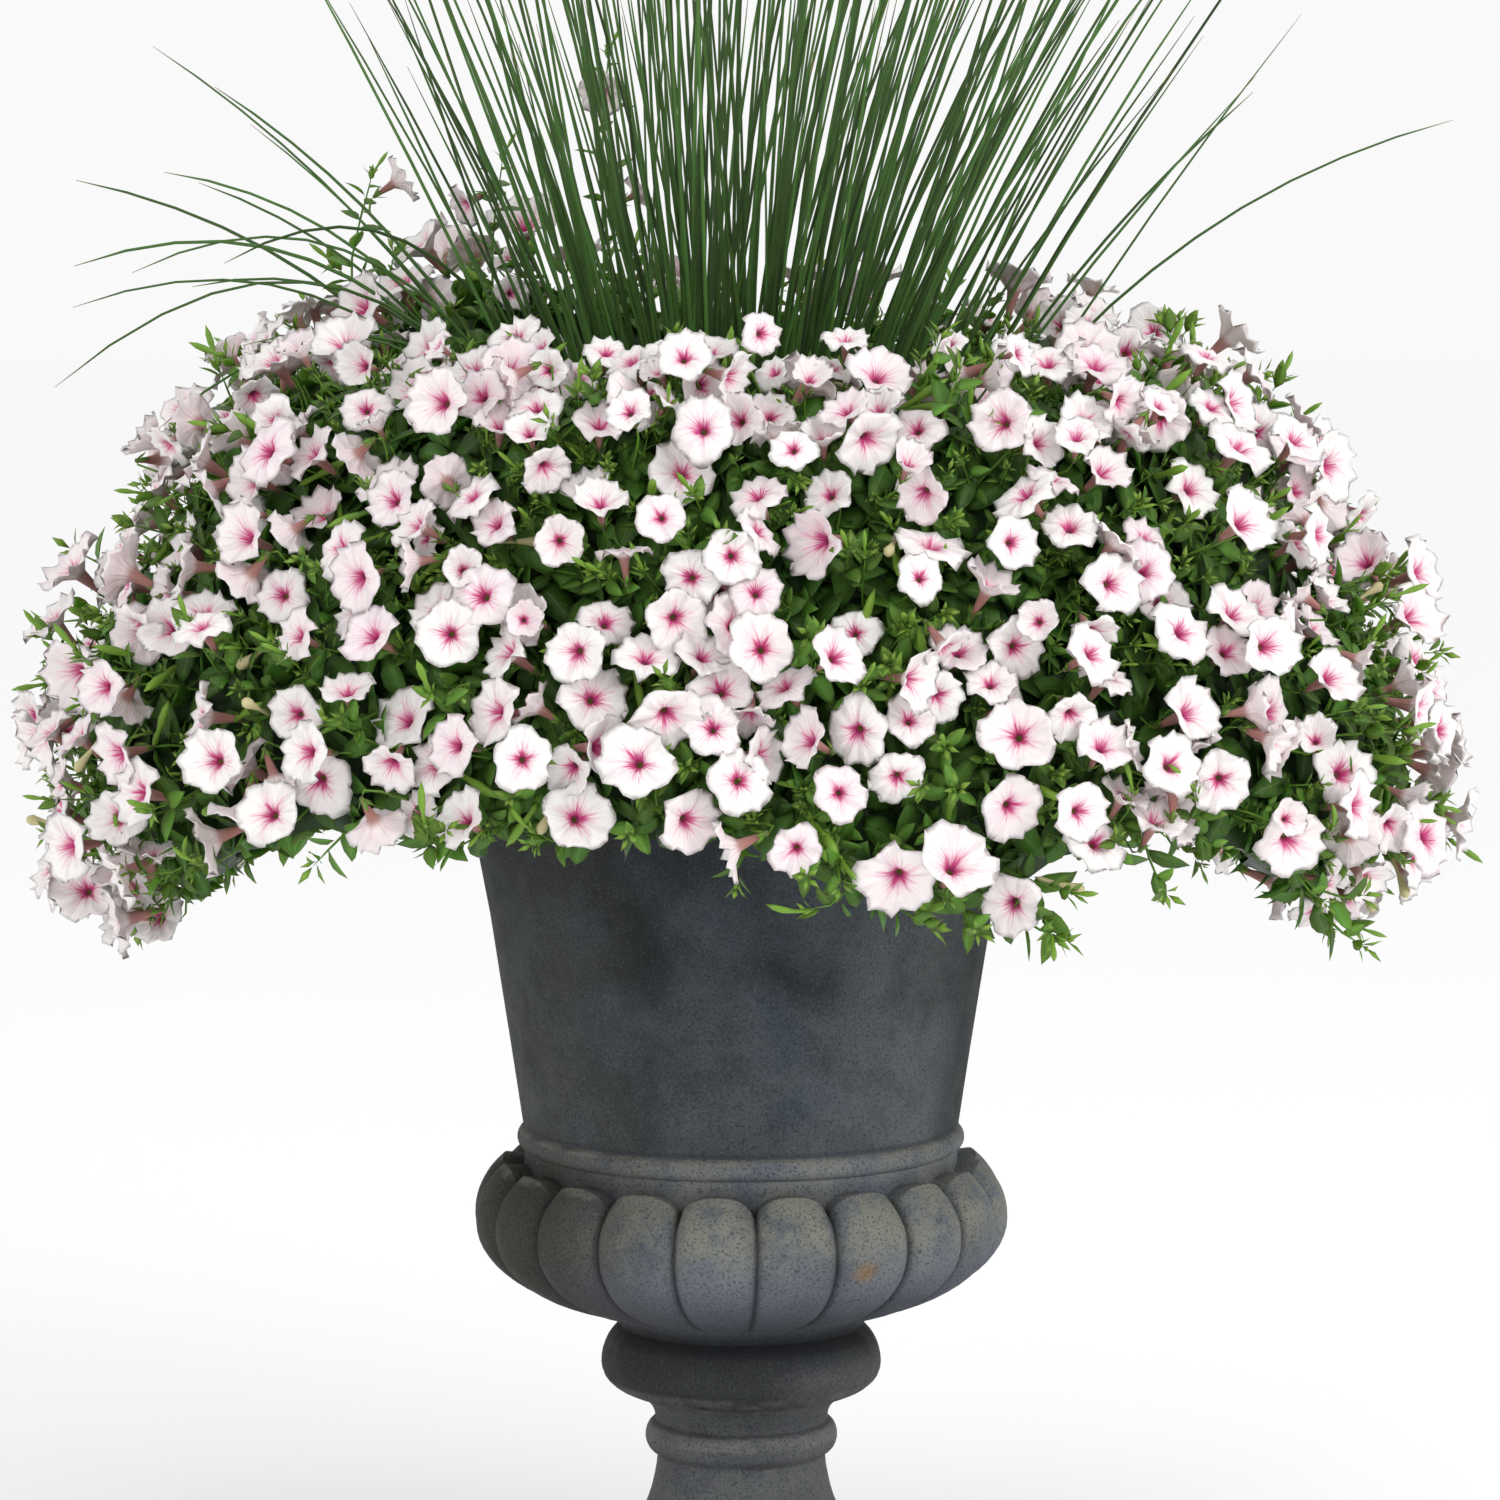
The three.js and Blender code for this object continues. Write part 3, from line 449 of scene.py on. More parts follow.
def drawn_out(name, profile, sides):
    """Extrudes a ring of corners upwards through the radii and heights of a profile"""
    deselect_all()
    radius, height = profile[0]
    bpy.ops.mesh.primitive_circle_add(
        vertices=sides, radius=radius, fill_type="NOTHING", location=(0, 0, height))
    obj = active_named(name)
    bpy.ops.object.mode_set(mode="EDIT")
    bpy.ops.mesh.select_all(action="SELECT")
    for (r0, z0), (r1, z1) in zip(profile, profile[1:]):
        bpy.ops.mesh.extrude_region_move(TRANSFORM_OT_translate={"value": (0, 0, z1 - z0)})
        bpy.ops.transform.resize(value=(r1 / r0, r1 / r0, 1), center_override=(0, 0, z1))
    bpy.ops.object.mode_set(mode="OBJECT")
    place_applied(obj)
    return obj


def close_ends(obj, ends):
    """Closes open rings of corners with a face each and turns all faces outward"""
    make_active(obj)
    for chosen in ends:
        bpy.ops.object.mode_set(mode="EDIT")
        bpy.ops.mesh.select_mode(type="VERT")
        bpy.ops.mesh.select_all(action="DESELECT")
        bpy.ops.object.mode_set(mode="OBJECT")
        obj.data.vertices.foreach_set("select", chosen)
        bpy.ops.object.mode_set(mode="EDIT")
        bpy.ops.mesh.edge_face_add()
        bpy.ops.object.mode_set(mode="OBJECT")
    bpy.ops.object.mode_set(mode="EDIT")
    bpy.ops.mesh.select_all(action="SELECT")
    bpy.ops.mesh.normals_make_consistent(inside=False)
    bpy.ops.object.mode_set(mode="OBJECT")


def corners(obj):
    """The mesh's corners as an array"""
    co = np.empty(len(obj.data.vertices) * 3)
    obj.data.vertices.foreach_get("co", co)
    return co.reshape(-1, 3)


def set_corners(obj, co):
    """Moves the mesh's corners to an array's places"""
    obj.data.vertices.foreach_set("co", np.asarray(co, dtype=float).ravel())
    obj.data.update()


def loop_corners(mesh):
    """The corner at which each loop of the mesh stands"""
    loops = np.empty(len(mesh.loops), dtype=np.int32)
    mesh.loops.foreach_get("vertex_index", loops)
    return loops


def face_sizes(mesh):
    """How many corners each face of the mesh has"""
    totals = np.empty(len(mesh.polygons), dtype=np.int32)
    mesh.polygons.foreach_get("loop_total", totals)
    return totals


def paint_tones(mesh, tones):
    """Keeps three tones for each corner as the mesh's tone attribute"""
    colour = np.concatenate([tones, np.ones((len(tones), 1))], axis=1)
    attribute = mesh.attributes.new("tone", "FLOAT_COLOR", "POINT")
    attribute.data.foreach_set("color", colour.ravel())


def roughened(co, size, amount, seed):
    """Shifts corners by soft three-way noise of a given grain"""
    offset = Vector((seed * 7.1, seed * 3.3, seed * 5.7))
    shifts = [noise.noise_vector(Vector(point) / size + offset) for point in co]
    return co + np.array(shifts) * amount


def with_modifier(obj, kind, **values):
    """Adds a modifier, sets it and applies it"""
    make_active(obj)
    modifier = obj.modifiers.new(kind.title(), kind)
    for name, value in values.items():
        setattr(modifier, name, value)
    bpy.ops.object.modifier_apply(modifier=modifier.name)


class Pattern:
    """A shape modelled once, kept as arrays so that it can be copied many times"""

    def __init__(self, co, loops, totals, uv, tone):
        self.co = co
        self.loops = loops
        self.totals = totals
        self.uv = uv
        self.tone = tone

    @classmethod
    def taken_from(cls, obj, uv=None, tone=None):
        """Takes a modelled object's mesh and removes the object"""
        mesh = obj.data
        loops, totals, co = loop_corners(mesh), face_sizes(mesh), corners(obj)
        bpy.data.objects.remove(obj)
        bpy.data.meshes.remove(mesh)
        if uv is None:
            uv = np.zeros((len(loops), 2))
        if tone is None:
            tone = np.zeros((len(co), 3))
        return cls(co, loops, totals, uv, tone)

    def moved(self, matrix, place=(0, 0, 0)):
        """A copy turned and scaled by a matrix, then moved"""
        co = self.co @ np.asarray(matrix).T + np.asarray(place)
        return Pattern(co, self.loops, self.totals, self.uv, self.tone)

    def toned(self, tone):
        """A copy with one tone all over"""
        return Pattern(self.co, self.loops, self.totals, self.uv, np.tile(tone, (len(self.co), 1)))


def joined(patterns):
    """Several patterns as one"""
    starts = np.cumsum([0] + [len(p.co) for p in patterns[:-1]])
    return Pattern(
        np.concatenate([p.co for p in patterns]),
        np.concatenate([p.loops + start for p, start in zip(patterns, starts)]),
        np.concatenate([p.totals for p in patterns]),
        np.concatenate([p.uv for p in patterns]),
        np.concatenate([p.tone for p in patterns]),
    )


def piece_from(name, pattern, smooth=True):
    """Makes a scene object of a pattern, with its UV map and its tone attribute"""
    mesh = bpy.data.meshes.new(name)
    mesh.vertices.add(len(pattern.co))
    mesh.vertices.foreach_set("co", pattern.co.ravel())
    mesh.loops.add(len(pattern.loops))
    mesh.loops.foreach_set("vertex_index", pattern.loops.astype(np.int32))
    mesh.polygons.add(len(pattern.totals))
    starts = np.concatenate([[0], np.cumsum(pattern.totals)[:-1]]).astype(np.int32)
    mesh.polygons.foreach_set("loop_start", starts)
    mesh.polygons.foreach_set("loop_total", pattern.totals)
    mesh.polygons.foreach_set("use_smooth", np.full(len(pattern.totals), smooth))
    mesh.update(calc_edges=True)
    mesh.uv_layers.new(name="Pattern").data.foreach_set("uv", pattern.uv.ravel())
    paint_tones(mesh, pattern.tone)
    obj = bpy.data.objects.new(name, mesh)
    bpy.context.collection.objects.link(obj)
    return obj


def turn_to(direction, side, roll=0.0):
    """A matrix whose third column is a direction and whose first leans towards a side"""
    z = unit(np.asarray(direction, dtype=float))
    x = np.asarray(side, dtype=float)
    x = x - z * x.dot(z)
    if np.linalg.norm(x) < 1e-6:
        x = np.cross(z, [0.3, 0.9, 0.1])
    x = unit(x)
    y = np.cross(z, x)
    c, s = math.cos(roll), math.sin(roll)
    return np.stack([x * c + y * s, y * c - x * s, z], axis=1)


def outward(azimuth):
    """The level direction away from the upright axis"""
    return np.array([math.cos(azimuth), math.sin(azimuth), 0.0])


def curve_points(ends, count):
    """Evenly spaced parameters of a cubic Bezier curve through four control points"""
    t = np.linspace(0, 1, count)[:, None]
    a, b, c, d = [np.asarray(p, dtype=float) for p in ends]
    return (1 - t) ** 3 * a + 3 * (1 - t) ** 2 * t * b + 3 * (1 - t) * t ** 2 * c + t ** 3 * d


def bent_along(straight_stem, path, radius, side, tone=None):
    """Bends a unit-long stem pattern along a path, with a radius for each of its points"""
    share = straight_stem.co[:, 2]
    at = np.linspace(0, 1, len(path))
    ahead = np.gradient(path, axis=0)
    ahead /= np.linalg.norm(ahead, axis=1)[:, None]
    middle = np.stack([np.interp(share, at, path[:, k]) for k in range(3)], axis=1)
    z = np.stack([np.interp(share, at, ahead[:, k]) for k in range(3)], axis=1)
    z /= np.linalg.norm(z, axis=1)[:, None]
    x = np.asarray(side) - z * (z @ np.asarray(side))[:, None]
    x /= np.linalg.norm(x, axis=1)[:, None]
    y = np.cross(z, x)
    thick = np.interp(share, at, radius)[:, None]
    co = middle + (x * straight_stem.co[:, :1] + y * straight_stem.co[:, 1:2]) * thick
    tones = straight_stem.tone if tone is None else tone
    return Pattern(co, straight_stem.loops, straight_stem.totals, straight_stem.uv, tones)


# The mound of petunias, laid out by the same rule as the solid model's


class OutlineCurve:
    """A smooth curve through the outline's points, read by share of its length"""

    def __init__(self, points, steps=200):
        self.points = np.array(points)
        self.at = np.linspace(0, 1, steps + 1)
        places = np.array([self.by_parameter(t) for t in self.at])
        lengths = np.linalg.norm(np.diff(places, axis=0), axis=1)
        self.shares = np.concatenate([[0], np.cumsum(lengths)]) / lengths.sum()

    def by_parameter(self, t):
        last = len(self.points) - 1
        spot = last * t
        first = min(int(math.floor(spot)), last)
        w = spot - first
        p0, p1, p2, p3 = [
            self.points[min(max(first + k, 0), last)] for k in (-1, 0, 1, 2)
        ]
        v0, v1 = (p2 - p0) / 2, (p3 - p1) / 2
        return (
            (2 * p1 - 2 * p2 + v0 + v1) * w ** 3 + (3 * p2 - 3 * p1 - 2 * v0 - v1) * w ** 2
            + v0 * w + p1
        )

    def by_share(self, share):
        return self.by_parameter(float(np.interp(share, self.shares, self.at)))


MOUND_CURVE = OutlineCurve(MOUND_OUTLINE)


def hump(degrees, form):
    """A smooth hump round one azimuth, both in degrees"""
    middle, width, share = form
    apart = (degrees - middle + 180) % 360 - 180
    return share * math.exp(-((apart / width) ** 2))


def cut_at(sine, form):
    """How much shorter the mound hangs where the azimuth's sine has come so far"""
    share, start, end = form
    return share * smooth_step(start, end, sine)


def mound_azimuth(turn):
    """The azimuth at a share of the way round, with more room given to the front"""
    return -math.pi / 2 + 2 * math.pi * turn - FRONT_CROWD * math.sin(2 * math.pi * turn)


def mound_point(turn, share):
    """A point of the mound that the bloom faces make, from its inner edge (0) to its lip (1)"""
    azimuth = mound_azimuth(turn)
    degrees = math.degrees(azimuth)
    to_back = math.sin(azimuth)
    hang = 1 - cut_at(-to_back, FRONT_CUT) - cut_at(to_back, BACK_CUT) + hump(degrees, TRAIL)
    out, height = MOUND_CURVE.by_share(share * hang)
    rise = 1 + BACK_RISE * max(0, to_back) + hump(degrees, SHOULDER)
    tall = height * rise if height > 0 else height
    wide = out + CREST_SPREAD * (tall - height)
    draw_in, start, tall_part = FLANK_DRAW
    wide -= draw_in * math.sin(math.pi * min(1, max(0, (height - start) / tall_part)))
    deep = ROUND_RADIUS + (wide - ROUND_RADIUS) * DEPTH_SHARE
    return np.array([wide * math.cos(azimuth), deep * math.sin(azimuth), RIM_HEIGHT + tall])


def bowl_radius(height):
    """The inside radius of the bowl's wall at a height"""
    share = (height - WALL_FOOT[1]) / (RIM_HEIGHT - WALL_FOOT[1])
    return blend(WALL_FOOT[0], RIM_RADIUS, share) - WALL_THICKNESS


def soil_height(radius):
    """The height of the soil's top at a radius"""
    return blend(SOIL_CROWN, SOIL_EDGE, radius / bowl_radius(SOIL_EDGE))


class Spray:
    """One leafy spray's share of the mound, with its stem, its fork and its blooms"""

    def __init__(self, number, tier, index):
        cells, start, stem_foot, stem_head = TIERS[tier]
        rows = len(TIERS) * CELL_ROWS
        self.number = number
        self.tier = tier
        self.turns = [(index + start * cells) / cells, (index + 1 + start * cells) / cells]
        self.shares = [tier * CELL_ROWS / rows, (tier + 1) * CELL_ROWS / rows]
        middle_turn = sum(self.turns) / 2
        self.middle = mound_point(middle_turn, sum(self.shares) / 2)
        out = outward(mound_azimuth(middle_turn))
        self.foot = out * stem_foot + UP * soil_height(stem_foot)
        self.fork = out * stem_head + UP * (RIM_HEIGHT + FORK_HEIGHT)
        corner = mound_point(self.turns[0], self.shares[0])
        edge = np.linalg.norm(corner - mound_point(self.turns[1], self.shares[0]))
        length = np.linalg.norm(corner - mound_point(self.turns[0], self.shares[1]))
        self.trim_turn = (self.turns[1] - self.turns[0]) * CELL_GAP / 2 / edge
        self.trim_share = (self.shares[1] - self.shares[0]) * CELL_GAP / 2 / length
        self.blooms = []

    def name(self):
        return f"petunia_spray_{self.number:02d}"

    def patch_point(self, column, row):
        """A place in the spray's patch: columns and rows count from its first corner"""
        return mound_point(
            blend(self.turns[0] + self.trim_turn, self.turns[1] - self.trim_turn,
                  column / CELL_COLUMNS),
            blend(self.shares[0] + self.trim_share, self.shares[1] - self.trim_share,
                  row / CELL_ROWS),
        )

    def growth_way(self, column, row):
        """Which way the spray grows there: between straight from its fork and square out"""
        across = self.patch_point(column + 0.5, row) - self.patch_point(column - 0.5, row)
        down = self.patch_point(column, min(row + 0.5, CELL_ROWS))
        down = down - self.patch_point(column, max(row - 0.5, 0))
        square = unit(np.cross(down, across))
        ray = unit(self.patch_point(column, row) - self.fork)
        return unit(blend(ray, square, NORMAL_SHARE))

    def core_point(self, column, row, depth=CORE_DEPTH):
        """A point of the spray's core, a way inside the blooms' faces"""
        return self.patch_point(column, row) - self.growth_way(column, row) * depth

    def set_blooms(self, draw):
        """Sets the blooms like bricks, each with its root on the core and its open face"""
        for column in range(CELL_COLUMNS):
            for row in range(CELL_ROWS):
                odd = (row + self.tier * CELL_ROWS) % 2
                place = (column + (0.75 if odd else 0.25), row + 0.5)
                root = self.core_point(*place)
                direction = self.growth_way(*place)
                length = CORE_DEPTH + (-BLOOM_LEVEL if odd else BLOOM_LEVEL)
                tilt = np.array([draw() - 0.5, draw() - 0.5, draw() - 0.5])
                direction = unit(direction + tilt * 2 * BLOOM_TILT)
                face = root + direction * length
                self.blooms.append({
                    "root": root, "face": face, "direction": direction, "length": length,
                    "roll": draw() * 2 * math.pi, "radius": BLOOM_RADIUS,
                })


def bloom_ring(bloom):
    """Ten corners of a bloom's rim"""
    z = bloom["direction"]
    side = unit(np.array([-z[1], z[0], 0.0]))
    other = np.cross(z, side)
    angles = bloom["roll"] + np.arange(2 * PETAL_LOBES) * math.pi / PETAL_LOBES
    spread = np.cos(angles)[:, None] * side + np.sin(angles)[:, None] * other
    return bloom["face"] + spread * bloom["radius"]


def reaches_into(points, bloom):
    """Whether any point is inside a bloom's trumpet or nearer than the clearance"""
    arm = points - bloom["face"]
    along = arm @ bloom["direction"]
    aside = np.sqrt(np.maximum(0, (arm * arm).sum(axis=1) - along * along))
    share = np.clip(1 + along / bloom["length"], 0, 1)
    limit = blend(BLOOM_FOOT, bloom["radius"], share) + BLOOM_CLEARANCE
    return bool(np.any((along <= BLOOM_CLEARANCE) & (aside <= limit)))


def fit_blooms(blooms):
    """Draws crowded blooms in until no rim reaches into another bloom"""
    for index, bloom in enumerate(blooms):
        for other in blooms[:index]:
            apart = np.linalg.norm(bloom["face"] - other["face"])
            while (
                apart < bloom["radius"] + other["radius"] + BLOOM_CLEARANCE
                and (reaches_into(bloom_ring(bloom), other)
                     or reaches_into(bloom_ring(other), bloom))
            ):
                bloom["radius"] *= 0.98
                other["radius"] *= 0.98


def planted_sprays():
    """Every spray with its blooms, numbered as in the solid model"""
    sprays = []
    for tier, (cells, *_) in enumerate(TIERS):
        for index in range(cells):
            sprays.append(Spray(len(sprays) + 1, tier, index))
    draw = seeded_draw(5)
    for spray in sprays:
        spray.set_blooms(draw)
    fit_blooms([bloom for spray in sprays for bloom in spray.blooms])
    return sprays


SPRAYS = planted_sprays()


def light_turned(direction, share):
    """A bloom's direction, turned part of the way to the front and up"""
    if direction[1] > 0.35:
        wish = direction * [1, 1, 0.55] + np.array([0, 0.1, 0.35])
    else:
        wish = direction * [1, 0.35, 0.55] + np.array([0, -0.75, 0.42])
    return unit(blend(direction, unit(wish), share))


def climbing_path(spray, tip):
    """A climbing shoot's path, from its spray's fork up to its tip"""
    tip = np.array(tip)
    low = spray.fork
    return curve_points(
        [low, low + (tip - low) * [0.75, 0.75, 0.2], low + (tip - low) * [1.15, 1.1, 0.6], tip], 12)


# How near two blooms may be and how near they are tiled, as shares of their joint radii, the
# longest step apart, and the step and the most by which a tiled bloom is lifted
CLOSEST = 0.68
TILED = 0.95
LONGEST_STEP = 0.006
TILE_STEP = 0.009
TILE_LIFT = 0.008


def spread_out(blooms):
    """Moves blooms apart that would share a place, and lays those that overlap like tiles"""
    faces = np.array([bloom["face"] for bloom in blooms])
    ways = np.array([bloom["way"] for bloom in blooms])
    sizes = np.array([bloom["size"] for bloom in blooms])
    for _ in range(12):
        arm = faces[:, None] - faces[None, :]
        apart = np.linalg.norm(arm, axis=2) + np.eye(len(faces))
        least = CLOSEST * (sizes[:, None] + sizes[None, :])
        push = np.clip(least - apart, 0, None) * (1 - np.eye(len(faces)))
        shift = (arm / apart[:, :, None] * push[:, :, None]).sum(axis=1) * 0.35
        shift -= ways * (shift * ways).sum(axis=1)[:, None] * 0.5
        faces += np.clip(shift, -LONGEST_STEP, LONGEST_STEP)
    arm = faces[:, None] - faces[None, :]
    apart = np.linalg.norm(arm, axis=2) + np.eye(len(faces))
    near = (apart < TILED * (sizes[:, None] + sizes[None, :])) & (np.eye(len(faces)) < 1)
    level = np.einsum("ijk,ik->ij", arm, ways)
    lift = np.sign(level + 1e-6) * np.clip(TILE_STEP - np.abs(level), 0, None)
    lift = np.where(near, lift, 0).sum(axis=1) * 0.5
    faces += ways * np.clip(lift, -TILE_LIFT, TILE_LIFT)[:, None]
    for bloom, face in zip(blooms, faces):
        bloom["face"] = face


def opened_blooms(petunia):
    """Every spray's open blooms: the solid model's, loosened, and some turned away between"""
    opened = []
    for spray in SPRAYS:
        draw = np.random.default_rng(300 + spray.number)
        blooms = []
        for bloom in spray.blooms:
            way = light_turned(bloom["direction"], petunia.turn_to_front)
            way = unit(way + draw.normal(size=3) * 0.27)
            face = bloom["face"] + np.clip(draw.normal(size=3), -1.6, 1.6) * 0.010
            face = face + bloom["direction"] * draw.uniform(-0.020, 0.008)
            blooms.append({
                "face": face, "way": way, "root": bloom["root"], "roll": bloom["roll"],
                "size": bloom["radius"] * petunia.bloom_size * draw.uniform(0.80, 1.10),
            })
        for _ in range(petunia.turned_blooms):
            column = draw.uniform(0.1, CELL_COLUMNS - 0.1)
            row = draw.uniform(-0.2, CELL_ROWS - 0.1)
            root = spray.core_point(column, row)
            growth = spray.growth_way(column, row)
            way = unit(growth + draw.normal(size=3) * 0.85)
            blooms.append({
                "face": root + growth * draw.uniform(0.035, 0.058) + way * 0.008,
                "way": way, "root": root, "roll": draw.uniform(0, 2 * math.pi),
                "size": BLOOM_RADIUS * petunia.bloom_size * draw.uniform(0.70, 0.95),
            })
        for number, tip, count in CLIMBING_SHOOTS:
            if number != spray.number:
                continue
            path = climbing_path(spray, tip)
            for k in range(count):
                spot = path[-1 - 2 * k]
                way = unit(draw.normal(size=3) * [1, 0.7, 0.6] + np.array([0, -0.8, 0.2]))
                blooms.append({
                    "face": spot + way * 0.040, "way": way, "root": spot,
                    "roll": draw.uniform(0, 2 * math.pi),
                    "size": BLOOM_RADIUS * petunia.bloom_size * draw.uniform(0.55, 0.75),
                })
        for bloom in blooms:
            bloom["form"] = int(draw.integers(1000))
            bloom["half_open"] = draw.uniform() < 0.05
            bloom["tone"] = (draw.uniform(), draw.uniform() ** 2)
            if bloom["half_open"]:
                bloom["size"] *= 0.72
        opened.append(blooms)
    spread_out([bloom for blooms in opened for bloom in blooms])
    return opened


# Finishes


class Finish:
    """A material built up from nodes, ending in one Principled shader"""

    def __init__(self, name, **constants):
        self.material = bpy.data.materials.new(name)
        self.material.use_nodes = True
        self.tree = self.material.node_tree
        self.shader = self.tree.nodes["Principled BSDF"]
        for socket, value in constants.items():
            self.shader.inputs[socket.replace("_", " ")].default_value = value
        self.place = 0

    def node(self, kind, links=(), **values):
        """Adds a node, sets its values and links its inputs"""
        node = self.tree.nodes.new(f"ShaderNode{kind}")
        self.place += 180
        node.location = (-2600 + self.place % 2400, -(self.place // 2400) * 320)
        for name, value in values.items():
            setattr(node, name, value)
        for socket, source in dict(links).items():
            if isinstance(source, bpy.types.NodeSocket):
                self.tree.links.new(source, node.inputs[socket])
            else:
                node.inputs[socket].default_value = source
        return node

    def math(self, operation, first, second=0.0, third=0.0):
        return self.node(
            "Math", {0: first, 1: second, 2: third}, operation=operation).outputs[0]

    def times(self, first, second):
        return self.math("MULTIPLY", first, second)

    def ramp(self, value, low, high, start=0.0, end=1.0):
        """A smooth step of a value between two limits"""
        node = self.node(
            "MapRange",
            {"Value": value, "From Min": low, "From Max": high, "To Min": start, "To Max": end},
            interpolation_type="SMOOTHSTEP",
        )
        return node.outputs["Result"]

    def mix(self, share, first, second, blend_type="MIX"):
        """Mixes two colours by a share"""
        node = self.node("Mix", data_type="RGBA", blend_type=blend_type)
        for index, value in zip((0, 6, 7), (share, first, second)):
            if isinstance(value, bpy.types.NodeSocket):
                self.tree.links.new(value, node.inputs[index])
            elif index == 0:
                node.inputs[index].default_value = value
            else:
                node.inputs[index].default_value = (*value[:3], 1)
        return node.outputs[2]

    def grain(self, vector, scale, detail=3.0, roughness=0.55, distortion=0.0):
        node = self.node("TexNoise", {
            "Vector": vector, "Scale": scale, "Detail": detail,
            "Roughness": roughness, "Distortion": distortion,
        })
        return node.outputs["Fac"]

    def object_place(self):
        return self.node("TexCoord").outputs["Object"]

    def tone(self):
        """The three channels of the piece's tone attribute"""
        attribute = self.node("Attribute", attribute_name="tone")
        split = self.node("SeparateColor", {"Color": attribute.outputs["Color"]})
        return split.outputs

    def end(self, colour, roughness=None, height=None, strength=0.3, distance=0.001):
        """Links colour, roughness and bump to the shader"""
        self.tree.links.new(colour, self.shader.inputs["Base Color"])
        if roughness is not None:
            self.tree.links.new(roughness, self.shader.inputs["Roughness"])
        if height is not None:
            bump = self.node(
                "Bump", {"Height": height, "Strength": strength, "Distance": distance})
            self.tree.links.new(bump.outputs["Normal"], self.shader.inputs["Normal"])
        return self.material


# Heights over the ground, as from and to, between which the stone's look changes
WALL_PALES = (0.54, 0.46)
LOBES_START = (0.274, 0.284)
LOBES_END = (0.447, 0.443)
LOBES_UNDERSIDE_SHADE = (0.350, 0.296)
SHADED_DAMP_RISES = (0.46, 0.42)
KNOP_SHADE_END = (0.285, 0.272)
KNOP_SHADE_START = (0.202, 0.222)
KNOP_LIGHTENS = (0.262, 0.240)
FOOT_PALES = (0.215, 0.190)
# Places across the front, as from and to, over which painted light makes it lighter on the right,
# painted shade and damp staining make it darker and browner on the left, and painted light makes
# the knop lighter
LIT_RIGHT_SIDE = (0.03, 0.16)
SHADED_DAMP_SIDE = (-0.03, -0.18)
LIGHT_SIDE = (0.01, 0.08)
RUST_SPOT = (0.104, -0.199, 0.353)
STONE_TINTS = {
    "wall_foot": [0.078, 0.090, 0.094], "blue": [0.036, 0.047, 0.072],
    "right_side_light": [0.104, 0.117, 0.120], "right": [0.018, 0.022, 0.024],
    "left": [0.062, 0.066, 0.062], "rust": [0.20, 0.125, 0.055],
    "damp_and_shade": [0.030, 0.027, 0.021], "knop": [0.016, 0.016, 0.016],
    "foot": [0.124, 0.127, 0.130], "foot_patches": [0.040, 0.043, 0.050],
    "knop_light": [0.094, 0.095, 0.098], "grit": [0.20, 0.215, 0.21],
}


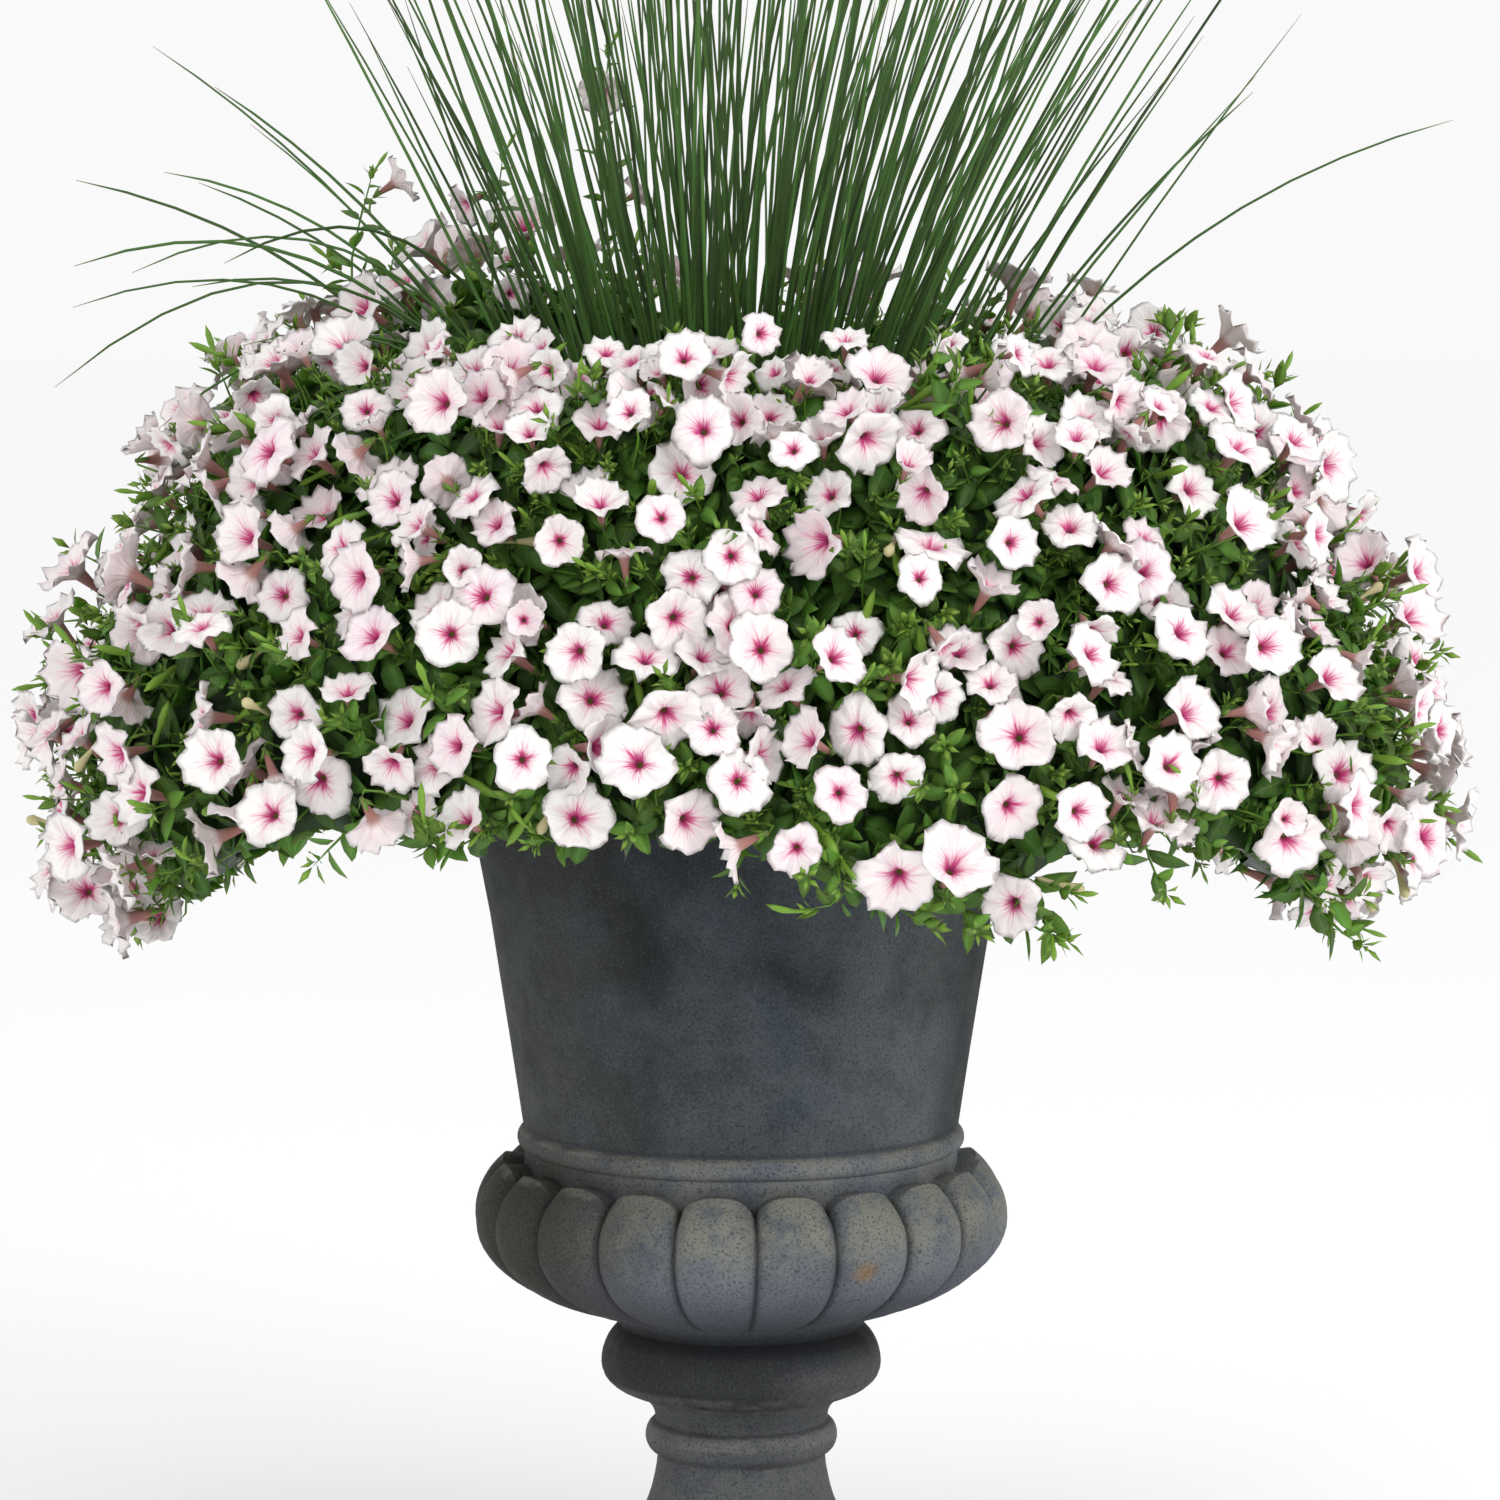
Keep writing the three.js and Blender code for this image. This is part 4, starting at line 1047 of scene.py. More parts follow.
def cast_stone_finish(urn):
    """Speckled charcoal cast stone, with painted shade in its creases and rubbed pale on its high
    parts
    """
    finish, tint = Finish("cast_stone", Specular_IOR_Level=0.22), STONE_TINTS
    place = finish.object_place()
    split = finish.node("SeparateXYZ", {"Vector": place})
    across, height = split.outputs["X"], split.outputs["Z"]
    level = finish.node("VectorMath", {0: place, 1: (1, 1, 0)}, operation="MULTIPLY")
    away = finish.node("VectorMath", {0: level.outputs[0]}, operation="LENGTH").outputs["Value"]
    crease_shade, top, worn = list(finish.tone())[:3]
    clouds = finish.grain(place, 6.5, 3.0, 0.5, 0.25)
    blotches = finish.grain(place, 30.0, 4.0, 0.65, 0.2)
    speckle = finish.grain(place, 460.0, 3.0, 0.75)
    pits = finish.node("TexVoronoi", {"Vector": place, "Scale": 190.0}, feature="F1")
    body = urn.body_colour
    colour = finish.mix(finish.ramp(clouds, 0.38, 0.62), shaded(body, 0.4), shaded(body, 1.5))
    colour = finish.mix(finish.ramp(height, *WALL_PALES, 0, 0.35), colour, tint["wall_foot"])
    mottled = finish.grain(place, 22.0, 5.0, 0.65, 0.3)
    cool = finish.ramp(finish.grain(place, 13.0), 0.48, 0.66, 0, 0.55)
    colour = finish.mix(cool, colour, tint["blue"])
    # painted light: the urn's right side is lighter, as lit by the lamp on the right
    lit_right = finish.ramp(across, *LIT_RIGHT_SIDE, 0, 0.66)
    colour = finish.mix(lit_right, colour, tint["right_side_light"])
    sideways = finish.math("DIVIDE", across, away)
    # painted shade: the wall darkens at its far right flank
    colour = finish.mix(finish.ramp(sideways, 0.80, 0.96, 0, 0.8), colour, tint["right"])
    # painted light: the wall's left flank is lighter
    colour = finish.mix(finish.ramp(sideways, -0.3, -0.7, 0, 0.5), colour, tint["left"])
    colour = finish.mix(finish.ramp(mottled, 0.44, 0.70, 0, 0.40), colour, shaded(body, 0.4))
    lobes = finish.times(finish.ramp(height, *LOBES_START), finish.ramp(height, *LOBES_END))
    shade = urn.shade_colour
    cast = finish.mix(finish.ramp(clouds, 0.34, 0.66), shaded(shade, 0.8), shaded(shade, 1.25))
    # painted shade: the lobes darken towards their undersides
    cast = finish.mix(finish.ramp(height, *LOBES_UNDERSIDE_SHADE, 0, 0.7), cast, shaded(shade, 0.32))
    colour = finish.mix(lobes, colour, cast)
    weathered = finish.times(top, finish.ramp(blotches, 0.30, 0.60))
    colour = finish.mix(weathered, colour, urn.moss_colour)
    rust = finish.node("VectorMath", {0: place, 1: RUST_SPOT}, operation="DISTANCE")
    rust = finish.math("MULTIPLY_ADD", blotches, 0.02, rust.outputs["Value"])
    colour = finish.mix(finish.ramp(rust, 0.024, 0.014, 0, 0.7), colour, tint["rust"])
    # painted shade, with some damp staining: the left side is darker and browner, most on the lobes
    damp_and_shade = finish.times(
        finish.ramp(across, *SHADED_DAMP_SIDE, 0, 0.92), finish.ramp(height, *SHADED_DAMP_RISES, 0.25, 1.0))
    colour = finish.mix(damp_and_shade, colour, tint["damp_and_shade"])
    # painted shade under the belly: the knop is darker, most towards its top
    knop = finish.times(
        finish.ramp(height, *KNOP_SHADE_END), finish.ramp(height, *KNOP_SHADE_START, 0, 0.7))
    colour = finish.mix(knop, colour, tint["knop"])
    foot = finish.ramp(height, *FOOT_PALES, 0, 0.6)
    colour = finish.mix(foot, colour, tint["foot"])
    lit = finish.times(foot, finish.ramp(blotches, 0.56, 0.40, 0, 0.75))
    colour = finish.mix(lit, colour, tint["foot_patches"])
    # painted light: the knop's right side is lighter
    lit = finish.times(
        finish.ramp(across, *LIGHT_SIDE, 0, 0.5), finish.ramp(height, *KNOP_LIGHTENS))
    colour = finish.mix(lit, colour, tint["knop_light"])
    rubbed = finish.times(worn, finish.ramp(finish.grain(place, 48.0), 0.30, 0.64))
    colour = finish.mix(rubbed, colour, urn.worn_colour)
    colour = finish.mix(finish.ramp(speckle, 0.50, 0.34, 0, 0.7), colour, urn.pit_and_shade_colour)
    colour = finish.mix(finish.ramp(speckle, 0.54, 0.74, 0, 0.22), colour, tint["grit"])
    holes = finish.times(
        finish.ramp(pits.outputs["Distance"], 0.18, 0.07, 0.0, 0.9),
        finish.ramp(finish.grain(place, 70.0), 0.52, 0.60))
    colour = finish.mix(holes, colour, urn.pit_and_shade_colour)
    # painted shade: dark in the creases, under the belly, at the neck and over the bead
    colour = finish.mix(finish.times(crease_shade, 0.88), colour, urn.pit_and_shade_colour)
    rough = finish.ramp(blotches, 0.3, 0.7, 0.7, 0.92)
    relief = finish.math("MULTIPLY_ADD", holes, -1.8, finish.math("ADD", speckle, blotches))
    return finish.end(colour, rough, relief, 0.42, 0.0014)


# Colours in the soil and the plants that no setting changes
TINTS = {
    "soil_fibres": [0.16, 0.10, 0.05], "soil_grit": [0.55, 0.53, 0.49],
    "rush_patches": [0.055, 0.105, 0.022], "rush_lines": [0.10, 0.15, 0.05],
    "rush_sheaths": [0.09, 0.035, 0.016], "leaf_patches": [0.085, 0.19, 0.018],
    "leaf_ribs": [0.17, 0.27, 0.06], "petal_blush": [0.84, 0.62, 0.70],
    "petal_pleat_shade": [0.58, 0.49, 0.54], "deep_throat": [0.17, 0.012, 0.05],
    "throat_eye": [0.15, 0.14, 0.03], "petal_back": [0.84, 0.73, 0.74],
    "tube_foot": [0.12, 0.17, 0.04],
}


def soil_finish(soil):
    """Moist potting mix, dark brown with paler fibres"""
    finish = Finish("potting_mix", Roughness=0.95, Specular_IOR_Level=0.2)
    place = finish.object_place()
    lumps = finish.grain(place, 160.0, 4.0, 0.7)
    fibres = finish.grain(place, 620.0, 2.0, 0.5)
    base = soil.soil_colour
    colour = finish.mix(finish.ramp(lumps, 0.3, 0.7), shaded(base, 0.45), shaded(base, 2.0))
    colour = finish.mix(finish.ramp(fibres, 0.62, 0.7, 0, 0.5), colour, TINTS["soil_fibres"])
    pale = finish.tone()[0]
    colour = finish.mix(pale, colour, TINTS["soil_grit"])
    return finish.end(colour, None, lumps, 0.6, 0.002)


def rush_finish(rush):
    """Round green stems with fine lengthwise lines, brown sheaths, and some dry stems"""
    finish = Finish("rush_stems", Specular_IOR_Level=0.22)
    shade, along, dry = list(finish.tone())[:3]
    uv = finish.node("UVMap", uv_map="Pattern").outputs["UV"]
    lines = finish.node("TexWave", {
        "Vector": uv, "Scale": 5.0, "Distortion": 0.6, "Detail": 1.0,
    }, wave_type="BANDS", bands_direction="X")
    drift = finish.grain(finish.object_place(), 38.0, 3.0)
    live = rush.stem_colour
    colour = finish.mix(shade, shaded(live, 0.5), shaded(live, 2.5))
    colour = finish.mix(finish.ramp(drift, 0.35, 0.75, 0, 0.5), colour, TINTS["rush_patches"])
    fine = finish.times(lines.outputs["Fac"], 0.16)
    colour = finish.mix(fine, colour, TINTS["rush_lines"])
    brown = rush.dry_colour
    colour = finish.mix(finish.ramp(along, 0.085, 0.03), colour, TINTS["rush_sheaths"])
    colour = finish.mix(finish.ramp(along, 0.965, 1.0, 0, 0.9), colour, brown)
    colour = finish.mix(dry, colour, brown)
    rough = finish.ramp(drift, 0.3, 0.7, 0.42, 0.6)
    return finish.end(colour, rough, lines.outputs["Fac"], 0.2, 0.0004)


def leaf_finish(petunia):
    """Petunia leaves, soft and slightly sticky, with pale ribs and yellow-green young tips"""
    finish = Finish(
        "petunia_leaves", Specular_IOR_Level=0.35, Subsurface_Weight=0.12,
        Subsurface_Scale=0.004, Subsurface_Radius=(0.5, 1.0, 0.2))
    shade, young, kind = list(finish.tone())[:3]
    uv = finish.node("UVMap", uv_map="Pattern").outputs["UV"]
    split = finish.node("SeparateXYZ", {"Vector": uv})
    across, along = split.outputs["X"], split.outputs["Y"]
    from_rib = finish.math("ABSOLUTE", finish.math("SUBTRACT", across, 0.5))
    rib = finish.ramp(from_rib, 0.05, 0.015)
    slant = finish.math("MULTIPLY_ADD", from_rib, -4.0, finish.times(along, 6.0))
    side = finish.math("ABSOLUTE", finish.math("SUBTRACT", finish.math("FRACT", slant), 0.5))
    side_ribs = finish.ramp(side, 0.10, 0.03)
    ribs = finish.math("MAXIMUM", rib, finish.times(side_ribs, 0.5))
    grown = petunia.leaf_colour
    colour = finish.mix(shade, shaded(grown, 0.55), shaded(grown, 2.1))
    patches = finish.grain(finish.object_place(), 60.0, 3.0)
    colour = finish.mix(finish.ramp(patches, 0.4, 0.75, 0, 0.45), colour, TINTS["leaf_patches"])
    colour = finish.mix(young, colour, petunia.tip_colour)
    colour = finish.mix(finish.times(ribs, 0.3), colour, TINTS["leaf_ribs"])
    # painted shade: the spray's heart and the inner lining are dark green for the shade deep in the
    # foliage
    heart = finish.times(finish.ramp(kind, 0.1, 0.2), finish.ramp(kind, 0.5, 0.4))
    colour = finish.mix(heart, colour, shaded(grown, 0.3))
    colour = finish.mix(finish.ramp(kind, 0.6, 0.9), colour, petunia.spent_colour)
    rough = finish.ramp(patches, 0.3, 0.7, 0.45, 0.62)
    relief = finish.math("MULTIPLY_ADD", ribs, -1.0, finish.times(patches, 0.6))
    return finish.end(colour, rough, relief, 0.35, 0.0008)


def petal_finish(petunia):
    """White petals streaked with pink from a magenta throat, and a mauve tube behind"""
    finish = Finish(
        "petunia_petals", Roughness=0.62, Specular_IOR_Level=0.22, Subsurface_Weight=0.18,
        Subsurface_Scale=0.004, Subsurface_Radius=(1.0, 0.7, 0.75), Sheen_Weight=0.12,
        Sheen_Roughness=0.5)
    shade, blush, back = list(finish.tone())[:3]
    uv = finish.node("UVMap", uv_map="Pattern").outputs["UV"]
    split = finish.node("SeparateXYZ", {"Vector": uv})
    turn, out = split.outputs["X"], split.outputs["Y"]
    place = finish.object_place()

    def rays(count, along, detail):
        """Soft rays of uneven width, different on every bloom"""
        drawn = finish.node("CombineXYZ", {
            "X": finish.times(turn, count), "Y": finish.times(out, along),
            "Z": finish.times(shade, 37.0),
        })
        return finish.grain(drawn.outputs["Vector"], 1.0, detail, 0.6)

    fine, broad = rays(52.0, 1.6, 2.0), rays(17.0, 1.0, 1.0)
    lobe = finish.math("FRACT", finish.times(turn, 5.0))
    aside = finish.math("ABSOLUTE", finish.math("SUBTRACT", lobe, 0.5))
    rib = finish.times(finish.ramp(aside, 0.045, 0.0), finish.ramp(out, 0.9, 0.3))
    reach = finish.math("MULTIPLY_ADD", fine, -0.52, finish.math("ADD", out, 0.26))
    reach = finish.math("MULTIPLY_ADD", aside, 0.16, reach)
    streaks = finish.times(finish.ramp(fine, 0.50, 0.64), finish.ramp(out, 0.86, 0.32))
    streaks = finish.times(streaks, finish.ramp(aside, 0.45, 0.15, 0.25, 1.0))
    veins = finish.math("MAXIMUM", rib, streaks)
    white = petunia.petal_colour
    pink = petunia.vein_colour
    colour = finish.mix(finish.times(blush, 0.42), white, TINTS["petal_blush"])
    # painted shade: grey along the petals' pleats
    pleat_shade = finish.times(finish.ramp(broad, 0.50, 0.66), finish.ramp(out, 0.2, 0.5))
    colour = finish.mix(finish.times(pleat_shade, 0.34), colour, TINTS["petal_pleat_shade"])
    colour = finish.mix(finish.times(veins, 0.55), colour, pink)
    colour = finish.mix(finish.ramp(reach, 0.60, 0.24, 0, 0.42), colour, pink)
    colour = finish.mix(finish.ramp(reach, 0.38, 0.19), colour, petunia.throat_colour)
    colour = finish.mix(finish.ramp(out, 0.17, 0.06, 0, 0.65), colour, TINTS["deep_throat"])
    colour = finish.mix(finish.ramp(out, 0.075, 0.02), colour, TINTS["throat_eye"])
    tube = petunia.tube_colour
    outside = finish.mix(finish.ramp(out, 0.16, 0.42), tube, TINTS["petal_back"])
    outside = finish.mix(finish.times(veins, 0.45), outside, tube)
    outside = finish.mix(finish.ramp(out, 0.09, 0.0), outside, TINTS["tube_foot"])
    colour = finish.mix(back, colour, outside)
    crinkle = finish.grain(place, 300.0, 3.0, 0.6)
    relief = finish.math("MULTIPLY_ADD", broad, 2.2, finish.times(crinkle, 0.6))
    relief = finish.math("MULTIPLY_ADD", fine, 0.8, relief)
    return finish.end(colour, None, relief, 0.5, 0.0013)


def floor_finish(stage):
    """A plain pale matt floor"""
    finish = Finish("pale_floor", Roughness=0.9)
    colour = stage.floor_colour
    cloud = finish.grain(finish.object_place(), 1.5)
    mixed = finish.mix(cloud, shaded(colour, 0.99), colour)
    return finish.end(mixed)


def dressed(obj, material, slot_name, *nodes):
    """Gives a piece its finish, its body and the nodes that it stands for"""
    obj.data.materials.clear()
    obj.data.materials.append(material)
    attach(obj, "root")
    if nodes:
        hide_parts(*nodes)
    return obj


# The urn


def foot_flare(steps):
    """The foot's hollow flare, from its edge up to the narrow throat"""
    edge = FOOT_EDGE
    ends = [
        (edge["middle"] + edge["out"] - 0.0204, edge["height"] + edge["up"]),
        (0.092, 0.078), (FOOT_THROAT[0] + 0.002, 0.120), FOOT_THROAT,
    ]
    return [tuple(point) for point in curve_points(ends, steps + 1)]


def urn_profile():
    """The turned urn without its lobes: up the outside, over the rim and down into the bowl"""
    inner, round_by = bowl_radius(RIM_HEIGHT), RIM_ROUNDING
    rounded = {"height": RIM_HEIGHT - round_by, "out": round_by, "up": round_by}
    edge = {"middle": RIM_RADIUS - round_by, **rounded}
    lip = {"middle": inner + round_by, **rounded}
    floor_corner = (BOWL_FLOOR_RADIUS, BOWL_FLOOR)
    return [
        (0.0, 0.030), (0.12, 0.030), (0.126, 0.038),
        *arc(FOOT_EDGE, -70, 90, 9),
        *foot_flare(12),
        *arc(STEM_BEAD, -80, 80, 9),
        NECK, (NECK[0] + 0.0012, NECK[1] + 0.006), (NECK[0] + 0.0035, NECK[1] + 0.011),
        *arc(KNOP, -85, 0, 8, up=KNOP_DOWN),
        *arc(KNOP, 8, 58, 6, up=KNOP_UP),
        KNOP_CREASE,
        *straight(KNOP_CREASE, (BAND[0] + 0.002, BAND[1]), 2),
        (BAND[0] - 0.001, BAND[1] + 0.004), (BAND[0], BAND[1] + 0.010),
        *straight((BAND[0], BAND[1] + 0.010), (BAND[0], COLLAR_BEAD["height"] - 0.0105), 6),
        *arc(COLLAR_BEAD, -80, 80, 9),
        (WALL_FOOT[0] - 0.0008, WALL_FOOT[1] - 0.002), WALL_FOOT,
        (WALL_FOOT[0] + 0.0005, WALL_FOOT[1] + 0.003),
        *straight(WALL_FOOT, WALL_BEND, 5),
        *straight(WALL_BEND, (RIM_RADIUS, RIM_HEIGHT - round_by), 4),
        *arc(edge, 15, 90, 4),
        *arc(lip, 90, 180, 4),
        *straight((inner, RIM_HEIGHT - round_by), (bowl_radius(WALL_FOOT[1]), WALL_FOOT[1]), 3),
        BOWL_CORNER, floor_corner, (0.0, BOWL_FLOOR),
    ]


def lobe_profile():
    """The ridge line of a lobe, from the axis out under the belly, up and over its top"""
    lower = arc(LOBE_LOWER, -80, 0, 16)
    upper = arc(LOBE_UPPER, 5, 46, 10)
    return [(0.0, lower[0][1]), *lower, *upper, (0.150, upper[-1][1] - 0.004), (0.0, 0.400)]


def crease_lobes(obj, urn):
    """Presses the creases between the lobes into the plain turned belly"""
    co = corners(obj)
    radius = np.hypot(co[:, 0], co[:, 1])
    angle = np.arctan2(co[:, 1], co[:, 0])
    ridge = np.array(lobe_profile())
    share = np.array([
        np.argmin((ridge[:, 0] - r) ** 2 + (ridge[:, 1] - z) ** 2)
        for r, z in zip(radius, co[:, 2])
    ]) / (len(ridge) - 3)
    across = ((angle - LOBE_TURN) / (2 * math.pi) * urn.lobe_count) % 1
    sunk = 1 - np.sqrt(1 - np.clip(np.abs(2 * across - 1), 0, 1) ** 3)
    pressed = urn.crease_depth * np.sin(math.pi * np.clip(0.2 + 0.62 * share, 0, 1)) ** 0.7 * sunk
    pressed[radius < 0.1] = 0
    rise = np.clip((share - 0.62) / 0.38, 0, 1)
    drop = 1.7 * urn.crease_depth * rise ** 1.3 * sunk ** 0.9
    drop[radius < 0.1] = 0
    scale = np.where(radius > 0.01, (radius - pressed) / np.maximum(radius, 0.01), 1)
    co[:, 0] *= scale
    co[:, 1] *= scale
    co[:, 2] -= drop
    set_corners(obj, co)


# Rings round the urn, as lowest and highest height, least and greatest radius, and how much:
# darkened by painted shade under the belly, at the neck and over the bead, and rubbed on the bead,
# on the knop, on the stem's bead and on the foot
SHADE_RINGS = [
    (0.262, 0.282, 0, 0.135, 0.9), (0.184, 0.197, 0, 1, 0.35), (0.4435, 0.4465, 0, 0.19, 0.55),
]
RUBBED_RINGS = [
    (0.4395, 0.4435, 0.184, 0.192, 0.7), (0.211, 0.226, 0.088, 1, 0.28),
    (0.172, 0.184, 0.078, 1, 0.28), (0.046, 0.07, 0.13, 1, 0.4),
]
BAND_TOP = 0.4245
BAND_OUT = 0.1876
LOBES_LOW = 0.278
LOBES_HIGH = 0.418
LOBES_IN = 0.118


def stone_tones(co, urn):
    """How much painted shade darkens the creases, how weathered and how rubbed the stone is at each
    corner
    """
    radius = np.hypot(co[:, 0], co[:, 1])
    angle = np.arctan2(co[:, 1], co[:, 0])
    height = co[:, 2]
    across = ((angle - LOBE_TURN) / (2 * math.pi) * urn.lobe_count) % 1
    gap = np.minimum(across, 1 - across)
    on_band = between(height, BAND[1], BAND_TOP) & (radius < BAND_OUT)
    on_bead = between(height, 0.424, 0.444) & (radius > 0.184)
    on_lobes = between(height, LOBES_LOW, LOBES_HIGH) & (radius > LOBES_IN) & ~on_band
    # painted shade: dark in the creases between the lobes
    crease_shade = np.where(on_lobes, np.clip(1 - gap / 0.055, 0, 1), 0)
    # painted shade along the band's foot, just above the lobes
    crease_shade[on_band] = np.clip((BAND_TOP + 0.001 - height[on_band]) / 0.012, 0, 1) * 0.25
    top = np.where(on_lobes, np.clip((height - 0.335) / 0.05, 0, 1) * 0.85, 0)
    top[on_band | on_bead] = 0.5
    top[between(height, 0.034, 0.07)] = 0.35
    worn = np.zeros(len(co))
    worn[on_lobes & (height > 0.409) & (gap > 0.1)] = 0.45
    for tones, rings in ((crease_shade, SHADE_RINGS), (worn, RUBBED_RINGS)):
        for low, high, inside, outside, amount in rings:
            tones[between(height, low, high) & between(radius, inside, outside)] = amount
    return np.stack([crease_shade, top, worn], axis=1)


class PLANTED_URN_OT_turn_urn(bpy.types.Operator):
    """Turn, lobe and weather the cast-stone urn"""

    bl_idname = "planted_urn.turn_urn"
    bl_label = "Urn"
    bl_options = {"REGISTER", "UNDO"}

    def execute(self, context):
        urn = context.scene.planted_urn_stone
        steps = urn.lobe_count * urn.steps_per_lobe
        body = turned("urn_stone", urn_profile(), steps)
        belly = turned("urn_belly", lobe_profile(), steps)
        crease_lobes(belly, urn)
        deselect_all()
        bpy.ops.mesh.primitive_cube_add(size=1, location=(0, 0, PLINTH_HEIGHT / 2))
        plinth = active_named("urn_plinth")
        plinth.scale = (PLINTH_SIDE, PLINTH_SIDE, PLINTH_HEIGHT)
        place_applied(plinth)
        bpy.ops.object.mode_set(mode="EDIT")
        bpy.ops.mesh.select_all(action="SELECT")
        bpy.ops.mesh.bevel(offset=0.003, segments=3, affect="EDGES")
        bpy.ops.mesh.select_all(action="SELECT")
        bpy.ops.mesh.subdivide(number_cuts=1)
        bpy.ops.object.mode_set(mode="OBJECT")
        for other in (belly, plinth):
            with_modifier(body, "BOOLEAN", operation="UNION", object=other, solver="EXACT")
            bpy.data.objects.remove(other)
        finish_mesh(body, merge=1e-5, angle=35)
        co = corners(body)
        paint_tones(body.data, stone_tones(co, urn))
        worn = roughened(co, 0.11, 0.0009, 1)
        low = co[:, 2] < 0.42
        worn[low] = roughened(worn[low], 0.014, 0.0003, 2)
        worn[co[:, 2] < 0.0035] = co[co[:, 2] < 0.0035]
        set_corners(body, worn)
        dressed(body, cast_stone_finish(urn), "cast_stone", "urn")
        return {"FINISHED"}


# The soil


class PLANTED_URN_OT_fill_soil(bpy.types.Operator):
    """Fill the bowl with crumbly potting soil"""

    bl_idname = "planted_urn.fill_soil"
    bl_label = "Potting soil"
    bl_options = {"REGISTER", "UNDO"}

    def execute(self, context):
        soil = context.scene.planted_urn_soil
        edge = bowl_radius(SOIL_EDGE) - SOIL_GAP
        profile = [
            (0.0, BOWL_FLOOR + SOIL_GAP),
            (BOWL_FLOOR_RADIUS - SOIL_GAP, BOWL_FLOOR + SOIL_GAP),
            (BOWL_CORNER[0] - SOIL_GAP, BOWL_CORNER[1] + SOIL_GAP),
            (bowl_radius(WALL_FOOT[1]) - SOIL_GAP, WALL_FOOT[1]),
            *straight((bowl_radius(WALL_FOOT[1]) - SOIL_GAP, WALL_FOOT[1]), (edge, SOIL_EDGE), 4),
            *straight((edge, SOIL_EDGE), (0.0, SOIL_CROWN), 42),
        ]
        bed = turned("soil_bed", profile, 96)
        co = corners(bed)
        radius = np.hypot(co[:, 0], co[:, 1])
        on_top = (co[:, 2] > SOIL_EDGE - 1e-4) & (radius < edge - 0.002)
        lumps = roughened(co, 0.009, 0.0024, 3) + roughened(co, 0.035, 0.004, 4) - 2 * co
        co[on_top, 2] += lumps[on_top, 2] - 0.001
        set_corners(bed, co)
        bed_pattern = Pattern.taken_from(bed)
        deselect_all()
        bpy.ops.mesh.primitive_ico_sphere_add(subdivisions=1, radius=1, location=(0, 0, 0))
        crumb = active_named("soil_crumb")
        set_corners(crumb, roughened(corners(crumb), 0.8, 0.35, 5))
        crumb = Pattern.taken_from(crumb)
        draw = np.random.default_rng(23)
        parts = [bed_pattern]
        for _ in range(soil.crumbs):
            away = edge * math.sqrt(draw.uniform(0.02, 0.94))
            angle = draw.uniform(0, 2 * math.pi)
            size = draw.uniform(0.0012, 0.0042)
            matrix = turn_to(draw.normal(size=3), draw.normal(size=3))
            matrix = matrix * (size * draw.uniform(0.5, 1.4, size=3))
            spot = (away * math.cos(angle), away * math.sin(angle), soil_height(away) + 0.001)
            pale = 1.0 if draw.uniform() < 0.10 else 0.0
            parts.append(crumb.moved(matrix, spot).toned((pale, 0, 0)))
        bed = piece_from("potting_mix", joined(parts))
        dressed(bed, soil_finish(soil), "soil", "potting_soil")
        return {"FINISHED"}


# The soft rush


def stem_pattern(sides, rings):
    """A straight round stem, one long and one in radius, closed to a point at its top"""
    profile = [(1.0, ring / rings) for ring in range(rings)] + [(0.25, 1.0)]
    obj = drawn_out("plain_stem", profile, sides)
    co = corners(obj)
    close_ends(obj, [co[:, 2] > 0.999, co[:, 2] < 0.001])
    loops = loop_corners(obj.data)
    turn = np.arctan2(co[:, 1], co[:, 0]) / (2 * math.pi) % 1
    uv = np.stack([turn[loops], co[loops, 2]], axis=1)
    tone = np.stack([np.zeros(len(co)), co[:, 2], np.zeros(len(co))], axis=1)
    return Pattern.taken_from(obj, uv, tone)


